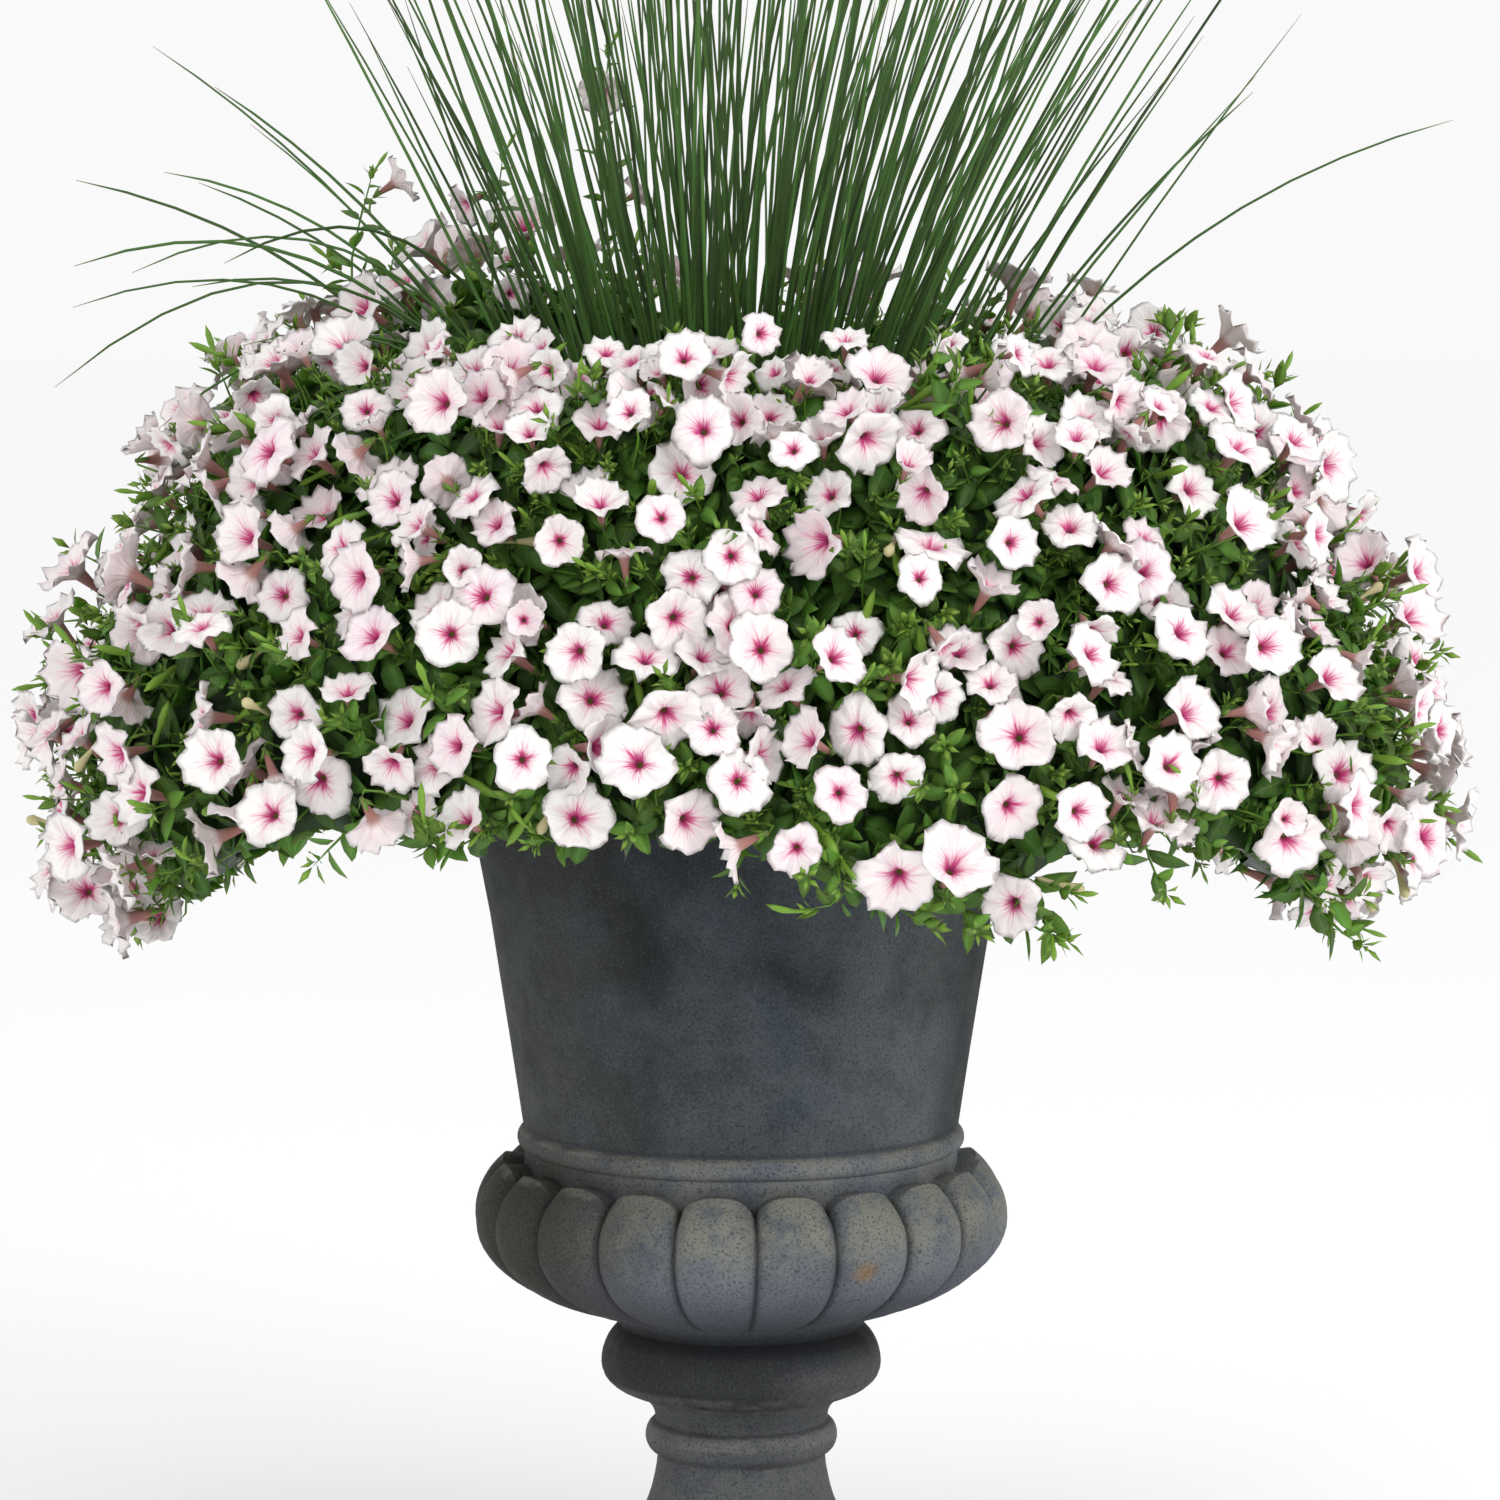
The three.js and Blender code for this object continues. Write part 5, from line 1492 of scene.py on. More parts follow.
def rush_stem_paths(rush):
    """The path of every stem with the number of its tuft"""
    draw = np.random.default_rng(17)
    soil = soil_height(0)
    sector = 2 * math.pi / TUFT_COUNT
    heights = np.linspace(0, 1, 10)
    bundles = draw.normal(size=(rush.stems // 7, 2)) * 0.65
    bundles -= bundles.mean(axis=0)
    stems = []
    for index in range(rush.stems):
        share = math.sqrt((index + 0.5) / rush.stems)
        foot = share * RUSH_CROWN_RADIUS
        around = (index * GOLDEN_TURN) % (2 * math.pi)
        middle = (math.floor(around / sector) + 0.5) * sector
        azimuth = TUFT_FIRST_EDGE + blend(middle, around, 0.82)
        tall = blend(RUSH_TALLEST, RUSH_OUTER_HEIGHT, share ** 2) * draw.uniform(0.80, 1.03)
        stray = bundles[index % len(bundles)] + draw.normal(size=2) * 0.85
        stray = np.clip(stray, -1.9, 1.9) * rush.crossing * 0.0062
        sway = draw.normal(size=2) * 0.010
        start = RUSH_CROWN_RADIUS * math.sqrt(draw.uniform(0, 1))
        turn = draw.uniform(0, 2 * math.pi)
        start = np.array([start * math.cos(turn), start * math.sin(turn)]) * 0.7
        path = []
        for part in heights:
            height = part * tall
            spread = (RUSH_CROWN_RADIUS + RUSH_LEAN * height + RUSH_ARCH * height ** 2)
            spread /= RUSH_CROWN_RADIUS
            drift = (spread - 1) * stray + np.sin(part * 3.0) * sway
            drift[0] += RUSH_SIDE_LEAN * height ** 2
            path.append([
                (spread - 0.66) * foot * math.cos(azimuth) + start[0] + drift[0],
                (spread - 0.66) * foot * math.sin(azimuth) + start[1] + drift[1],
                soil - FOOT_SUNK + height * 1.0087,
            ])
        stems.append((int(around / sector), np.array(path)))
    companions = [
        (azimuth + draw.normal() * 5, reach * draw.uniform(0.72, 0.98),
         height + draw.normal() * 0.05, bow * draw.uniform(0.9, 1.08))
        for azimuth, reach, height, bow in ARCHING_STEMS[:5] + ARCHING_STEMS[:4]
    ]
    for azimuth, reach, height, bow in ARCHING_STEMS + companions:
        angle = math.radians(azimuth)
        around = (angle - TUFT_FIRST_EDGE) % (2 * math.pi)
        rise = RIM_HEIGHT + height - soil
        ends = [
            (RUSH_CROWN_RADIUS, 0, soil - FOOT_SUNK),
            (RUSH_CROWN_RADIUS + 0.12 * reach, 0, soil + 0.5 * rise * bow),
            (0.52 * reach, 0, soil + 0.97 * rise * bow),
            (reach, 0, soil + rise),
        ]
        flat = curve_points(ends, 24)
        path = np.stack([
            flat[:, 0] * math.cos(angle), flat[:, 0] * math.sin(angle), flat[:, 2]], axis=1)
        stems.append((int(around / sector), path))
    return stems


class PLANTED_URN_OT_grow_rush(bpy.types.Operator):
    """Grow the soft rush, tuft by tuft"""

    bl_idname = "planted_urn.grow_rush"
    bl_label = "Soft rush"
    bl_options = {"REGISTER", "UNDO"}

    def execute(self, context):
        rush = context.scene.planted_urn_rush
        straight_stem, arching_stem = stem_pattern(6, 8), stem_pattern(6, 18)
        draw = np.random.default_rng(29)
        tufts = [[] for _ in range(TUFT_COUNT)]
        for number, (tuft, path) in enumerate(rush_stem_paths(rush)):
            arching = number >= rush.stems
            plain = arching_stem if arching else straight_stem
            at = np.linspace(0, 1, len(path))
            thick = rush.stem_radius * draw.uniform(0.72, 1.12)
            radius = thick * (1 - 0.58 * at ** 1.6)
            radius[0] *= 1.15
            dry = 0.0 if arching else float(draw.uniform() < rush.dead_share)
            radius *= 1 - 0.45 * dry
            tone = plain.tone.copy()
            tone[:, 0] = draw.uniform()
            tone[:, 2] = dry
            side = (draw.normal(), draw.normal(), 0.01)
            tufts[tuft].append(bent_along(plain, path, radius, side, tone))
        finish = rush_finish(rush)
        for tuft, stems in enumerate(tufts):
            if not stems:
                raise RuntimeError(f"tuft {tuft + 1} has no stems")
            name = f"rush_tuft_{tuft + 1}"
            piece = piece_from(f"{name}_stems", joined(stems))
            dressed(piece, finish, "rush", name)
        return {"FINISHED"}


# Petunia leaves, buds and twigs


def welded(pattern, tolerance=1e-5):
    """Merges corners that share a place and drops faces left with no area"""
    keys = np.round(pattern.co / tolerance).astype(np.int64)
    _, first, back = np.unique(keys, axis=0, return_index=True, return_inverse=True)
    back = back.reshape(-1)
    loops, totals, uv = [], [], []
    start = 0
    for total in pattern.totals:
        ring = back[pattern.loops[start:start + total]]
        keep = [k for k in range(total) if ring[k] != ring[k - 1]]
        if len(keep) > 2:
            loops.extend(ring[keep])
            uv.extend(pattern.uv[start + np.array(keep)])
            totals.append(len(keep))
        start += total
    return Pattern(
        pattern.co[first], np.array(loops, dtype=np.int32), np.array(totals, dtype=np.int32),
        np.array(uv), pattern.tone[first])


def blade_pattern(name, steps, width, fold, curl):
    """A pointed leaf one long, closed on both faces, folded on its rib and curled down"""
    deselect_all()
    bpy.ops.mesh.primitive_grid_add(
        x_subdivisions=steps, y_subdivisions=2, size=1, location=(0.5, 0, 0))
    obj = active_named(name)
    place_applied(obj)
    co = corners(obj)
    along, aside = co[:, 0].copy(), co[:, 1] * 2
    half = width / 2 * np.sin(math.pi * np.clip(along, 0, 1) ** 0.82) ** 0.8
    half[(along < 0.001) | (along > 0.999)] = 0
    co[:, 1] = aside * half
    co[:, 2] = np.abs(aside) * half * fold - curl * along ** 2
    set_corners(obj, co)
    bpy.ops.object.mode_set(mode="EDIT")
    bpy.ops.mesh.select_all(action="SELECT")
    bpy.ops.mesh.duplicate()
    bpy.ops.mesh.flip_normals()
    bpy.ops.object.mode_set(mode="OBJECT")
    both = corners(obj)
    count = len(co)
    inside = np.abs(aside) < 0.01
    lowered = np.where(inside, 0.016, 0.0)
    both[count:, 2] -= lowered * (np.sin(math.pi * along) > 0.02)
    set_corners(obj, both)
    flat = np.stack([np.tile(aside, 2) / 2 + 0.5, np.tile(along, 2)], axis=1)
    return welded(Pattern.taken_from(obj, flat[loop_corners(obj.data)]))


def spindle_pattern(name, profile, sides):
    """A slim closed body drawn out along a profile, such as a bud"""
    obj = drawn_out(name, profile, sides)
    bpy.ops.object.mode_set(mode="EDIT")
    bpy.ops.mesh.select_mode(type="VERT")
    for low in (True, False):
        bpy.ops.mesh.select_all(action="DESELECT")
        bpy.ops.object.mode_set(mode="OBJECT")
        end = profile[0][1] if low else profile[-1][1]
        for vertex in obj.data.vertices:
            vertex.select = abs(vertex.co.z - end) < 1e-4
        bpy.ops.object.mode_set(mode="EDIT")
        bpy.ops.mesh.merge(type="CENTER")
    bpy.ops.mesh.select_all(action="SELECT")
    bpy.ops.mesh.normals_make_consistent(inside=False)
    bpy.ops.object.mode_set(mode="OBJECT")
    return Pattern.taken_from(obj)


def leaf_on(leaf, spot, azimuth, lift, size, tilt, tone):
    """A leaf on an upright stem: its way round, its angle over level, its size and its twist"""
    out = outward(azimuth)
    way = out * math.cos(lift) + UP * math.sin(lift)
    face = UP * math.cos(lift) - out * math.sin(lift)
    side = np.cross(face, way)
    face, side = (
        face * math.cos(tilt) + side * math.sin(tilt),
        side * math.cos(tilt) - face * math.sin(tilt),
    )
    return leaf.moved(np.stack([way, side, face], axis=1) * size, spot + out * 0.001).toned(tone)


def shoot_pattern(leaf, tip_leaf, stem, bud, draw, leaf_length):
    """A leafy shoot on its own axis: a stem, spiralling leaves and a star of young ones"""
    length = SHOOT_LENGTH
    parts = [bent_along(
        stem, curve_points([(0, 0, -0.02), (0, 0, 0.02), (0.003, 0, 0.06), (0, 0, length)], 5),
        np.linspace(0.0015, 0.0009, 5), (1, 0, 0)).toned((0.5, 0.35, 0))]
    grown = 7
    for k in range(grown):
        share = k / (grown - 1)
        size = leaf_length * blend(1.1, 0.62, share) * draw.uniform(0.8, 1.2)
        lift = math.radians(blend(6, 46, share) + draw.uniform(-16, 16))
        tone = (draw.uniform(0.0, 1.0) ** 1.4, 0.25 * share ** 2 + draw.uniform(0, 0.10), 0)
        spot = UP * blend(0.004, length * 0.86, share)
        azimuth = k * GOLDEN_TURN + draw.uniform(-0.3, 0.3)
        parts.append(leaf_on(leaf, spot, azimuth, lift, size, draw.uniform(-0.5, 0.5), tone))
    for k in range(5):
        parts.append(leaf_on(
            tip_leaf, UP * blend(length * 0.9, length, k / 4), k * GOLDEN_TURN + 1,
            math.radians(draw.uniform(32, 70)), leaf_length * draw.uniform(0.36, 0.52),
            draw.uniform(-0.3, 0.3), (draw.uniform(0.3, 1), draw.uniform(0.45, 0.9), 0)))
    if draw.uniform() < 0.5:
        lean = turn_to((draw.normal() * 0.3, draw.normal() * 0.3, 1), (1, 0, 0))
        scale = draw.uniform(0.5, 0.85)
        parts.append(bud.moved(lean * scale, (0, 0, length - 0.004)).toned((0.6, 0.75, 0)))
    return joined(parts)


def curled(pattern, bend):
    """A shoot bent over sideways, all of its bend spread along its length"""
    radius = SHOOT_LENGTH / bend
    turn = np.clip(pattern.co[:, 2], 0, None) / radius
    co = pattern.co.copy()
    co[:, 0] = radius - (radius - pattern.co[:, 0]) * np.cos(turn)
    co[:, 2] = np.minimum(pattern.co[:, 2], 0) + (radius - pattern.co[:, 0]) * np.sin(turn)
    return Pattern(co, pattern.loops, pattern.totals, pattern.uv, pattern.tone)


def twig(stem, start, end, way, radius, tone, droop=0.012):
    """A thin twig from a place to another, arriving in a given direction"""
    reach = np.linalg.norm(np.asarray(end) - start)
    ends = [start, start + (end - start) * 0.35 + UP * droop, end - way * 0.3 * reach, end]
    path = curve_points(ends, 7)
    side = unit(np.cross(end - start, UP) + np.array([1e-3, 0, 0]))
    return bent_along(stem, path, np.linspace(radius, radius * 0.7, len(path)), side).toned(tone)


def shell_pattern(layers, steps):
    """A lumpy closed shell between two grids of points, toned as a spray's heart, which is painted
    dark as shade
    """
    count = (steps + 1) ** 2
    co = np.concatenate(layers)
    loops = []
    for i in range(steps):
        for j in range(steps):
            a = i * (steps + 1) + j
            b, c, d = a + 1, a + steps + 2, a + steps + 1
            loops += [a, b, c, d]
            loops += [count + d, count + c, count + b, count + a]
    rim = list(range(steps))
    rim += [i * (steps + 1) + steps for i in range(steps)]
    rim += [steps * (steps + 1) + steps - j for j in range(steps)]
    rim += [(steps - i) * (steps + 1) for i in range(steps)]
    for k, near in enumerate(rim):
        far = rim[(k + 1) % len(rim)]
        loops += [far, near, count + near, count + far]
    loops = np.array(loops, dtype=np.int32)
    totals = np.full(len(loops) // 4, 4, dtype=np.int32)
    tone = np.tile((0.0, 0.0, 0.3), (len(co), 1))
    return Pattern(co, loops, totals, np.full((len(loops), 2), 0.3), tone)


def core_pattern(spray, draw):
    """The thick bed of old leaves inside a spray, with a rough skin, painted dark as the shade deep
    in the foliage
    """
    layers = []
    for depth, rough in ((BED_DEPTH, 0.007), (BED_DEPTH + 0.022, 0.005)):
        grid = []
        for i in range(BED_STEPS + 1):
            for j in range(BED_STEPS + 1):
                column = CELL_COLUMNS * (i / BED_STEPS * 1.10 - 0.05)
                row = CELL_ROWS * (j / BED_STEPS * 1.12 - 0.06)
                point = spray.core_point(column, row, depth)
                grid.append(point + draw.normal(size=3) * rough * 0.5)
        layers.append(np.array(grid))
    return shell_pattern(layers, BED_STEPS)


def inner_side(spray, around, up):
    """A point of the mound's inner side, from the urn's rim up to the blooms, and its way out"""
    turn = blend(spray.turns[0], spray.turns[1], around)
    out = outward(mound_azimuth(turn))
    foot = out * (RIM_RADIUS + 0.004) + UP * (RIM_HEIGHT + 0.006)
    return blend(foot, mound_point(turn, 0) - UP * 0.055, up), out


def lining_pattern(spray, draw):
    """The bed behind the leaves of the mound's inner side, painted dark as shade"""
    layers = []
    for thick in (0.0, 0.016):
        grid = []
        for i in range(BED_STEPS + 1):
            for j in range(BED_STEPS + 1):
                around, up = i / BED_STEPS * 1.02 - 0.01, j / BED_STEPS * 1.06 - 0.06
                point, out = inner_side(spray, around, up)
                grid.append(point + out * (0.010 + thick) + draw.normal(size=3) * 0.002)
        layers.append(np.array(grid))
    return shell_pattern(layers, BED_STEPS)


class PLANTED_URN_OT_grow_foliage(bpy.types.Operator):
    """Grow the petunias' stems, leafy shoots, buds and spent blooms"""

    bl_idname = "planted_urn.grow_foliage"
    bl_label = "Petunia foliage"
    bl_options = {"REGISTER", "UNDO"}

    def execute(self, context):
        petunia = context.scene.planted_urn_petunia
        opened = opened_blooms(petunia)
        every = [bloom for blooms in opened for bloom in blooms]
        self.faces = np.array([bloom["face"] for bloom in every])
        self.ways = np.array([bloom["way"] for bloom in every])
        self.sizes = np.array([bloom["size"] for bloom in every])
        self.stem = stem_pattern(4, 4)
        self.leaf = blade_pattern("petunia_leaf", 4, 0.48, 0.30, 0.18)
        self.tip_leaf = blade_pattern("young_leaf", 2, 0.33, 0.25, 0.10)
        self.sepal = blade_pattern("petunia_sepal", 2, 0.26, 0.2, -0.18)
        self.bud = spindle_pattern("petunia_bud", [
            (0.0006, 0), (0.0024, 0.006), (0.0022, 0.018), (0.0040, 0.030), (0.0034, 0.040),
            (0.0006, 0.050)], 6)
        self.spent = spindle_pattern("spent_bloom", [
            (0.0008, 0), (0.0019, 0.006), (0.0016, 0.019), (0.0034, 0.030), (0.0050, 0.037),
            (0.0030, 0.041), (0.0008, 0.042)], 6)
        self.draw = np.random.default_rng(41)
        self.shoots = [
            curled(shoot_pattern(self.leaf, self.tip_leaf, self.stem, self.bud, self.draw,
                                 petunia.leaf_length), bend)
            for bend in SHOOT_BENDS
        ]
        finish = leaf_finish(petunia)
        for spray, blooms in zip(SPRAYS, opened):
            parts = [core_pattern(spray, self.draw)]
            parts.append(twig(
                self.stem, spray.foot - UP * 0.03, spray.fork, UP, 0.0034, (0.2, 0.1, 0), 0))
            self.add_stalks(spray, blooms, parts)
            self.add_old_leaves(spray, petunia, parts)
            if spray.tier == 0:
                self.add_lining(spray, petunia, parts)
            self.add_shoots(spray, petunia, parts)
            self.add_buds(spray, parts)
            for number, tip, _ in CLIMBING_SHOOTS:
                if number == spray.number:
                    self.add_climbing_shoot(climbing_path(spray, tip), petunia, parts)
            piece = piece_from(f"{spray.name()}_foliage", joined(parts))
            dressed(piece, finish, "petunia", spray.name())
        return {"FINISHED"}

    def add_stalks(self, spray, blooms, parts):
        """Twigs from the fork to each bloom, with its stalk and its five sepals"""
        for bloom in blooms:
            way = bloom["way"]
            base = bloom["face"] - way * 1.35 * bloom["size"]
            arrive = unit(bloom["root"] - spray.fork)
            if np.linalg.norm(bloom["root"] - spray.fork) < 0.5:
                parts.append(twig(
                    self.stem, spray.fork, bloom["root"], arrive, 0.0020, (0.4, 0.15, 0)))
            parts.append(twig(
                self.stem, bloom["root"] - arrive * 0.01, base, way, 0.0012, (0.6, 0.45, 0), 0.004))
            for k in range(SEPALS):
                azimuth = k * 2 * math.pi / SEPALS + bloom["roll"]
                turn = turn_to(way, (math.cos(azimuth), math.sin(azimuth), 0.2))
                out = turn[:, 0]
                length = 0.014 * self.draw.uniform(0.85, 1.2)
                matrix = np.stack([
                    unit(way * 0.92 + out * 0.38), turn[:, 1], unit(way * -0.38 + out * 0.92),
                ], axis=1) * length
                parts.append(self.sepal.moved(matrix, base - way * 0.001).toned((0.7, 0.4, 0)))

    def add_old_leaves(self, spray, petunia, parts):
        """A bed of large old leaves that lie over the spray's heart and its seams"""
        for k in range(petunia.old_leaves):
            column = CELL_COLUMNS * (((k * GOLDEN_SHARE + 0.3) % 1) * 1.08 - 0.04)
            row = CELL_ROWS * ((k + self.draw.uniform(0, 1)) / petunia.old_leaves * 1.12 - 0.06)
            face = unit(spray.growth_way(column, row) + self.draw.normal(size=3) * 0.35)
            spot = spray.core_point(column, row, self.draw.uniform(0.046, 0.070))
            turn = turn_to(face, (0, 0, -1), self.draw.normal() * 0.9)
            size = petunia.leaf_length * self.draw.uniform(0.95, 1.4)
            spot = spot - turn[:, 0] * size * 0.5
            parts.append(self.leaf.moved(turn * size, spot).toned(
                (self.draw.uniform(0, 0.5), 0, 0)))

    def add_lining(self, spray, petunia, parts):
        """Leaves down the mound's inner side, which faces the rush"""
        draw = self.draw
        parts.append(lining_pattern(spray, draw))
        count = petunia.inner_leaves
        for k in range(count):
            spot, out = inner_side(spray, (k * GOLDEN_SHARE) % 1, (k + draw.uniform(0, 1)) / count)
            face = unit(UP * 0.5 - out * 0.9 + draw.normal(size=3) * 0.35)
            turn = turn_to(face, UP, draw.normal() * 0.9)
            size = petunia.leaf_length * draw.uniform(0.9, 1.3)
            spot = spot - turn[:, 0] * size * 0.5
            parts.append(self.leaf.moved(turn * size, spot).toned(
                (draw.uniform(0, 0.6), draw.uniform(0, 0.12), 0)))

    def room_for(self, spot, way, size, least=0.4):
        """The size at which a shoot stays in the mound and pierces no open bloom"""
        low, high = np.array(CAD_BOX)
        while size > least:
            tip = spot + way * SHOOT_LENGTH * size
            pierced = bool(np.any((tip < low)[:2] | (tip > high)[:2]))
            for part in SHOOT_PARTS:
                arm = spot + way * SHOOT_LENGTH * size * part - self.faces
                along = (arm * self.ways).sum(axis=1)
                aside = np.sqrt(np.maximum(0, (arm * arm).sum(axis=1) - along ** 2))
                beside = between(along, -BLOOM_BEHIND, BLOOM_BEFORE)
                pierced |= bool(np.any(beside & (aside < self.sizes + LEAF_CLEARANCE)))
            if not pierced:
                return size
            size *= 0.85
        return 0

    def add_shoots(self, spray, petunia, parts):
        """Leafy shoots over a spray's patch, and more along the mound's inner and lower edges"""
        draw = self.draw
        places = []
        for k in range(petunia.shoots):
            column = CELL_COLUMNS * ((k * GOLDEN_SHARE) % 1)
            row = CELL_ROWS * (k + draw.uniform(0, 1)) / petunia.shoots
            way = unit(spray.growth_way(column, row) + draw.normal(size=3) * 0.26)
            size = draw.uniform(0.62, 0.98) * (1.18 if draw.uniform() < 0.10 else 1)
            places.append((spray.core_point(column, row, BED_DEPTH), way, size, None))
        middle_out = unit(spray.middle * [1, 1, 0])
        for _ in range(INNER_EDGE_SHOOTS if spray.tier == 0 else 0):
            column = draw.uniform(0, CELL_COLUMNS)
            way = unit(spray.growth_way(column, 0) * 0.4 - middle_out * 0.7 + UP * 0.3
                       + draw.normal(size=3) * 0.2)
            places.append((spray.core_point(column, 0.1, BED_DEPTH), way, 0.8, None))
        for _ in range(LOWER_EDGE_SHOOTS if spray.tier == len(TIERS) - 1 else 0):
            column = draw.uniform(0, CELL_COLUMNS)
            way = unit(spray.growth_way(column, CELL_ROWS) * 0.7 - UP * 0.6
                       + draw.normal(size=3) * 0.3)
            spot = spray.core_point(column, CELL_ROWS - draw.uniform(0, 0.5), CORE_DEPTH)
            places.append((spot, way, draw.uniform(0.55, 1.0), unit(middle_out + UP * 0.7)))
        for spot, way, size, side in places:
            size = self.room_for(spot, way, size)
            if size == 0:
                continue
            if side is None:
                shoot = self.shoots[int(draw.integers(UPRIGHT_FORMS))]
                matrix = turn_to(way, (1, 0, 0), draw.uniform(0, 2 * math.pi)) * size
            else:
                shoot = self.shoots[-1 - int(draw.integers(HANGING_FORMS))]
                matrix = turn_to(way, side, draw.normal() * 0.5) * size
            parts.append(shoot.moved(matrix, spot))

    def add_buds(self, spray, parts):
        """Buds and rolled, faded blooms between the open ones"""
        draw = self.draw
        for kind, pattern, count in ((0.0, self.bud, 8), (1.0, self.spent, 4)):
            for _ in range(count):
                column = draw.uniform(0.1, CELL_COLUMNS - 0.1)
                row = draw.uniform(0.1, CELL_ROWS - 0.1)
                way = unit(spray.growth_way(column, row) + draw.normal(size=3) * 0.9)
                spot = spray.core_point(column, row, 0.030 if kind else 0.042)
                if self.room_for(spot, way, 0.6) < 0.6:
                    continue
                parts.append(pattern.moved(turn_to(way, (1, 0, 0)), spot).toned(
                    (draw.uniform(0.3, 0.9), 0.8 * (1 - kind), kind)))

    def add_climbing_shoot(self, path, petunia, parts):
        """A long thin shoot with leaves all the way up and a young tip"""
        draw = self.draw
        parts.append(bent_along(
            stem_pattern(4, 11), path, np.linspace(0.0022, 0.0010, len(path)), (0.3, 1, 0.1),
        ).toned((0.5, 0.3, 0)))
        ahead = np.gradient(path, axis=0)
        for k in range(3 * (len(path) - 4)):
            at = 2.5 + k / 3
            spot = path[int(at)] + (path[int(at) + 1] - path[int(at)]) * (at % 1)
            turn = turn_to(ahead[int(at)], (1, 0, 0))
            upright = leaf_on(
                self.leaf, np.zeros(3), k * GOLDEN_TURN, math.radians(draw.uniform(10, 50)),
                petunia.leaf_length * draw.uniform(0.55, 0.95), draw.uniform(-0.5, 0.5),
                (draw.uniform(0, 1), 0.3 * at / len(path), 0))
            parts.append(upright.moved(turn, spot))
        tip = self.shoots[0].moved(turn_to(ahead[-1], (1, 0, 0)) * 0.6, path[-1] - ahead[-1] * 0.5)
        parts.append(tip)


# The blooms


# share of the way out, radius, height and whether it is the back: from the eye over the
# petals' faces to their edge, and along their backs and the tube to its foot
BLOOM_RINGS = [
    (0.00, 0.050, -0.56, 0), (0.14, 0.130, -0.37, 0), (0.30, 0.30, -0.15, 0),
    (0.56, 0.57, -0.06, 0), (0.82, 0.83, -0.015, 0), (1.00, 1.00, 0.00, 0),
    (0.84, 0.845, -0.045, 1), (0.50, 0.48, -0.14, 1), (0.22, 0.185, -0.42, 1),
    (0.10, 0.105, -0.95, 1), (0.00, 0.075, -1.35, 1),
]


def bloom_pattern(cup, ruffle, lobing, seed):
    """One open trumpet, one in radius, with its face at height 0 and its tube below"""
    rings = np.array(BLOOM_RINGS)
    obj = drawn_out("petunia_bloom", [(r, z) for _, r, z, _ in BLOOM_RINGS], 6 * PETAL_LOBES)
    co = corners(obj)
    radius = np.hypot(co[:, 0], co[:, 1])
    theta = np.arctan2(co[:, 1], co[:, 0])
    apart = np.hypot(radius[:, None] - rings[:, 1], co[:, 2][:, None] - rings[:, 2])
    ring = apart.argmin(axis=1)
    share = rings[ring, 0]
    draw = np.random.default_rng(seed)
    phase = draw.uniform(0, 2 * math.pi, size=5)
    open_part = np.clip((share - 0.12) / 0.88, 0, 1)
    petal = np.cos(PETAL_LOBES * theta)
    lobe = np.round(theta * PETAL_LOBES / (2 * math.pi)).astype(int) % PETAL_LOBES
    spoke = np.round(theta * 6 * PETAL_LOBES / (2 * math.pi)).astype(int) % (6 * PETAL_LOBES)
    notch = np.clip(-petal, 0, 1) ** 5
    cleft = np.clip(petal, 0, 1) ** 6
    reach = 1 + (0.05 * petal - lobing * notch - 0.05 * cleft) * open_part ** 2
    reach += draw.uniform(-0.07, 0.07, size=PETAL_LOBES)[lobe] * open_part ** 2 * (1 - notch)
    reach += 0.05 * np.sin(theta * 2 + phase[0]) * open_part
    reach += draw.uniform(-0.03, 0.03, size=6 * PETAL_LOBES)[spoke] * open_part ** 3
    rise = cup * open_part ** 2 - 0.060 * np.cos(2 * PETAL_LOBES * theta) * open_part ** 1.3
    rise -= 0.12 * np.clip(petal, 0, 1) * open_part ** 4
    rise += ruffle * np.sin(theta * 7 + phase[2]) * open_part ** 3
    rise += ruffle * np.sin(theta * 12 + phase[3]) * open_part ** 4
    rise += draw.uniform(-0.035, 0.035, size=6 * PETAL_LOBES)[spoke] * open_part ** 3
    rise += 0.10 * np.sin(theta + phase[4]) * open_part
    co[:, 0] *= reach
    co[:, 1] *= reach
    co[:, 2] += rise
    set_corners(obj, co)
    close_ends(obj, [ring == 0, ring == len(rings) - 1])
    loops = loop_corners(obj.data)
    turn = ((theta / (2 * math.pi) + 0.5 / PETAL_LOBES) % 1)[loops]
    start = 0
    for total in face_sizes(obj.data):
        part = turn[start:start + total]
        if total < 5 and part.max() - part.min() > 0.5:
            part[part < 0.5] += 1
        start += total
    uv = np.stack([turn, share[loops]], axis=1)
    tone = np.stack([np.zeros(len(co)), np.zeros(len(co)), rings[ring, 3]], axis=1)
    return Pattern.taken_from(obj, uv, tone)


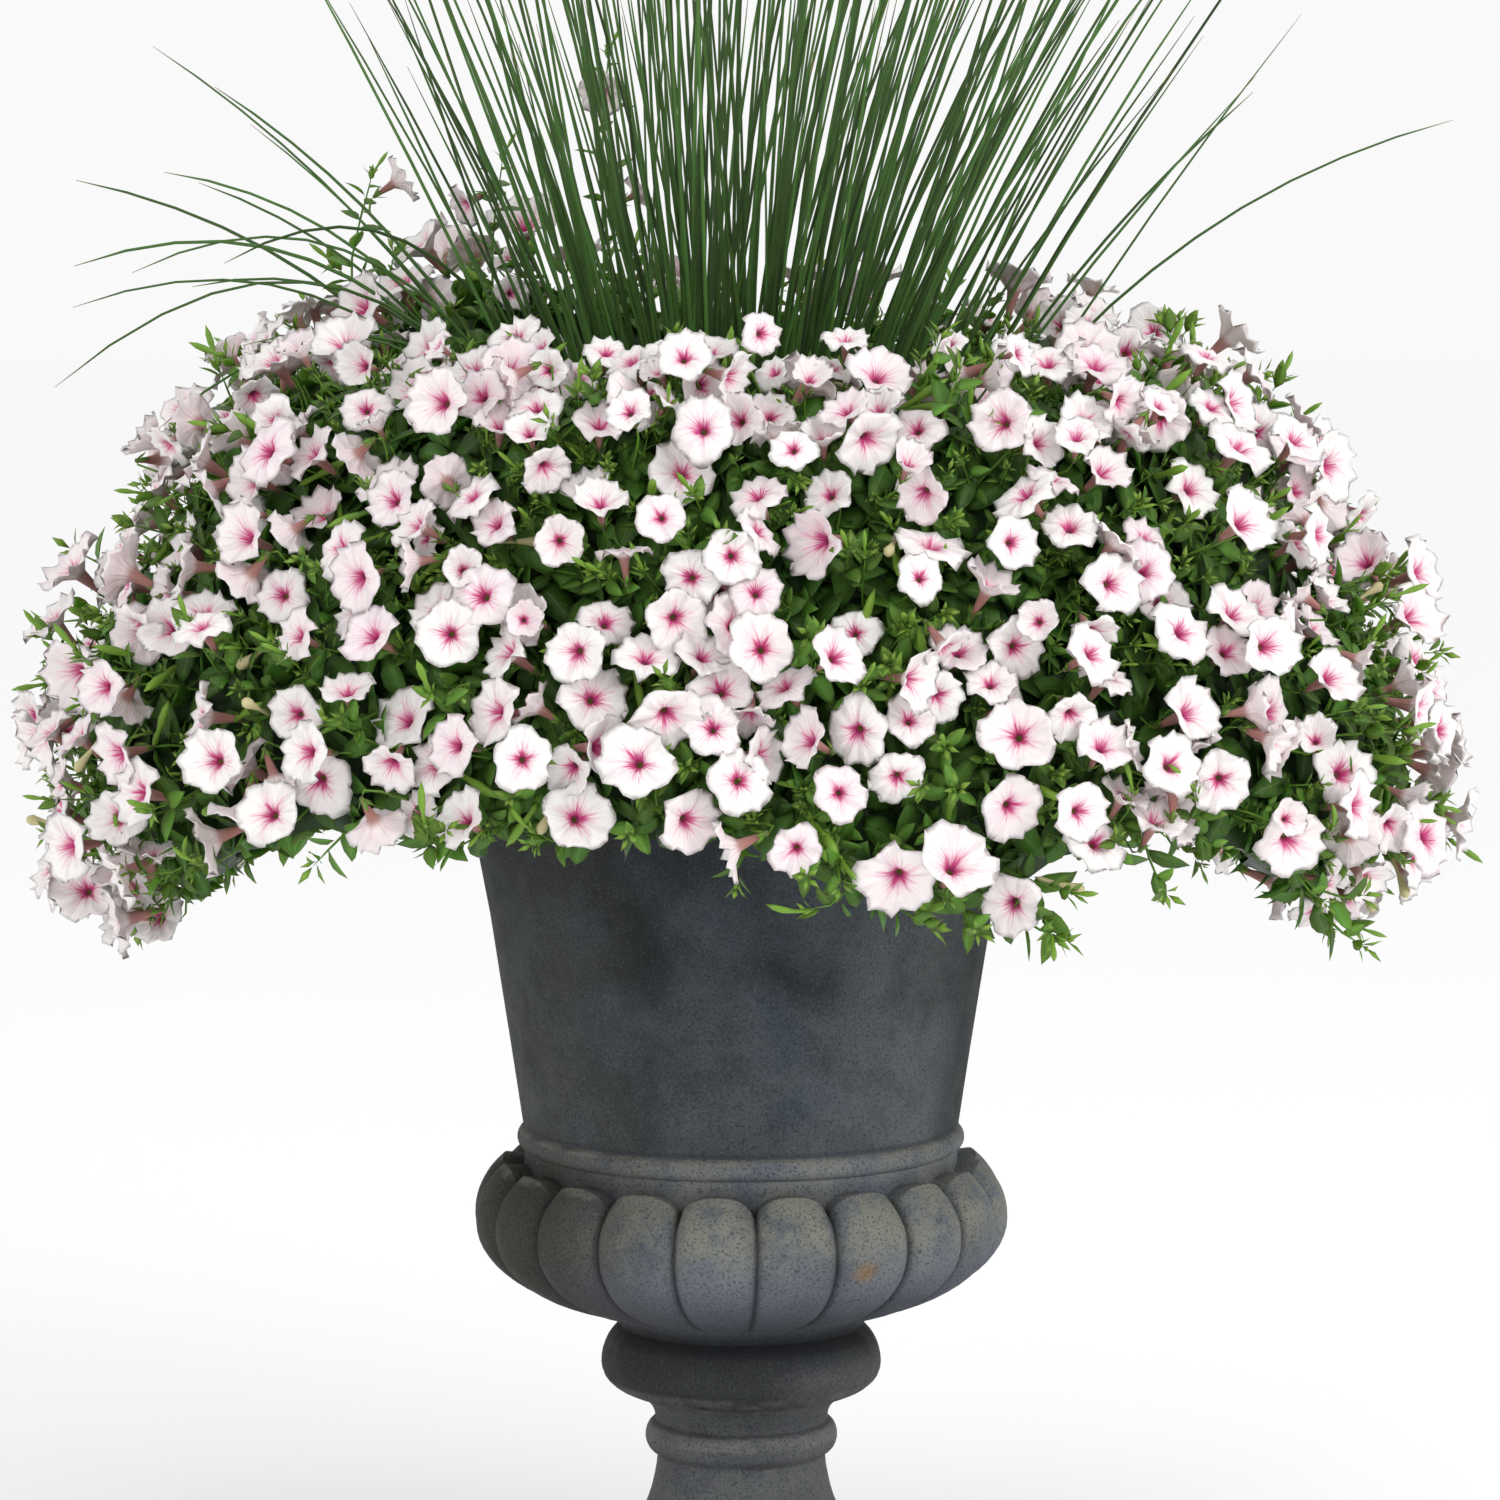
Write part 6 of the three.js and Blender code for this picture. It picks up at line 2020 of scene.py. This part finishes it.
class PLANTED_URN_OT_open_blooms(bpy.types.Operator):
    """Open the petunias' blooms on every spray"""

    bl_idname = "planted_urn.open_blooms"
    bl_label = "Petunia blooms"
    bl_options = {"REGISTER", "UNDO"}

    def execute(self, context):
        petunia = context.scene.planted_urn_petunia
        forms = [
            bloom_pattern(cup, ruffle, lobing, seed)
            for seed, (cup, ruffle, lobing) in enumerate([
                (0.05, 0.055, 0.10), (-0.10, 0.060, 0.15), (0.16, 0.060, 0.12),
                (-0.20, 0.065, 0.10), (0.00, 0.075, 0.18), (0.27, 0.060, 0.14),
                (0.08, 0.070, 0.08), (0.62, 0.045, 0.12),
            ])
        ]
        finish = petal_finish(petunia)
        for spray, blooms in zip(SPRAYS, opened_blooms(petunia)):
            parts = []
            for bloom in blooms:
                form = forms[-1] if bloom["half_open"] else forms[bloom["form"] % (len(forms) - 1)]
                matrix = turn_to(bloom["way"], (1, 0.2, 0.1), bloom["roll"]) * bloom["size"]
                moved = form.moved(matrix, bloom["face"])
                tone = form.tone.copy()
                tone[:, :2] = bloom["tone"]
                parts.append(Pattern(moved.co, moved.loops, moved.totals, moved.uv, tone))
            piece = piece_from(f"{spray.name()}_blooms", joined(parts))
            dressed(piece, finish, "petunia", spray.name())
        return {"FINISHED"}


# The stage


class PLANTED_URN_OT_set_stage(bpy.types.Operator):
    """Lay the floor, hang the lamps and stand the camera"""

    bl_idname = "planted_urn.set_stage"
    bl_label = "Stage"
    bl_options = {"REGISTER", "UNDO"}

    def execute(self, context):
        stage = context.scene.planted_urn_stage
        deselect_all()
        bpy.ops.mesh.primitive_plane_add(size=FLOOR_SIDE, location=(0, 0, 0))
        floor = active_named("floor")
        floor.data.materials.append(floor_finish(stage))
        world = bpy.data.worlds.new("even_room")
        world.use_nodes = True
        background = world.node_tree.nodes["Background"]
        background.inputs["Color"].default_value = (1, 1, 1, 1)
        background.inputs["Strength"].default_value = stage.sky_strength
        context.scene.world = world
        for name, place, size, share in LAMPS:
            self.lamp(name, place, size, stage.key_power * share)
        aim = Vector((stage.camera_side, 0, stage.aim_height))
        place = Vector((stage.camera_side, -stage.camera_distance, stage.camera_height))
        bpy.ops.object.camera_add(location=place)
        camera = context.view_layer.objects.active
        camera.name = "camera"
        camera.rotation_euler = (aim - place).to_track_quat("-Z", "Y").to_euler()
        camera.data.sensor_width = 36
        camera.data.lens = stage.focal_length
        camera.data.clip_end = 200
        context.scene.camera = camera
        context.scene.view_settings.view_transform = "Standard"
        context.scene.view_settings.look = "None"
        return {"FINISHED"}

    @staticmethod
    def lamp(name, place, size, power):
        """A square soft lamp that looks at the planting"""
        bpy.ops.object.light_add(type="AREA", location=place)
        lamp = bpy.context.view_layer.objects.active
        lamp.name = name
        lamp.data.size = size
        lamp.data.energy = power
        aim = Vector((0, 0, LAMP_AIM)) - Vector(place)
        lamp.rotation_euler = aim.to_track_quat("-Z", "Y").to_euler()


OPERATORS = (
    PLANTED_URN_OT_set_stage,
    PLANTED_URN_OT_turn_urn,
    PLANTED_URN_OT_fill_soil,
    PLANTED_URN_OT_grow_rush,
    PLANTED_URN_OT_grow_foliage,
    PLANTED_URN_OT_open_blooms,
)
SETTINGS = {
    "planted_urn_stage": StageSettings,
    "planted_urn_stone": UrnSettings,
    "planted_urn_soil": SoilSettings,
    "planted_urn_rush": RushSettings,
    "planted_urn_petunia": PetuniaSettings,
}


class PLANTED_URN_PT_panel(bpy.types.Panel):
    """The planted urn's pieces and settings"""

    bl_idname = "PLANTED_URN_PT_panel"
    bl_label = "Planted urn"
    bl_space_type = "VIEW_3D"
    bl_region_type = "UI"
    bl_category = "Planted urn"

    def draw(self, context):
        for operator in OPERATORS:
            self.layout.operator(operator.bl_idname)
        for name, group in SETTINGS.items():
            box = self.layout.box()
            settings = getattr(context.scene, name)
            for field in group.__annotations__:
                box.prop(settings, field)


def register():
    for group in SETTINGS.values():
        bpy.utils.register_class(group)
    for name, group in SETTINGS.items():
        setattr(bpy.types.Scene, name, PointerProperty(type=group))
    for operator in OPERATORS:
        bpy.utils.register_class(operator)
    bpy.utils.register_class(PLANTED_URN_PT_panel)


def unregister():
    bpy.utils.unregister_class(PLANTED_URN_PT_panel)
    for operator in reversed(OPERATORS):
        bpy.utils.unregister_class(operator)
    for name in SETTINGS:
        delattr(bpy.types.Scene, name)
    for group in reversed(SETTINGS.values()):
        bpy.utils.unregister_class(group)


def main():
    """Registers the add-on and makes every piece"""
    register()
    bpy.ops.planted_urn.set_stage()
    bpy.ops.planted_urn.turn_urn()
    bpy.ops.planted_urn.fill_soil()
    bpy.ops.planted_urn.grow_rush()
    bpy.ops.planted_urn.grow_foliage()
    bpy.ops.planted_urn.open_blooms()


if __name__ == "__main__":
    main()
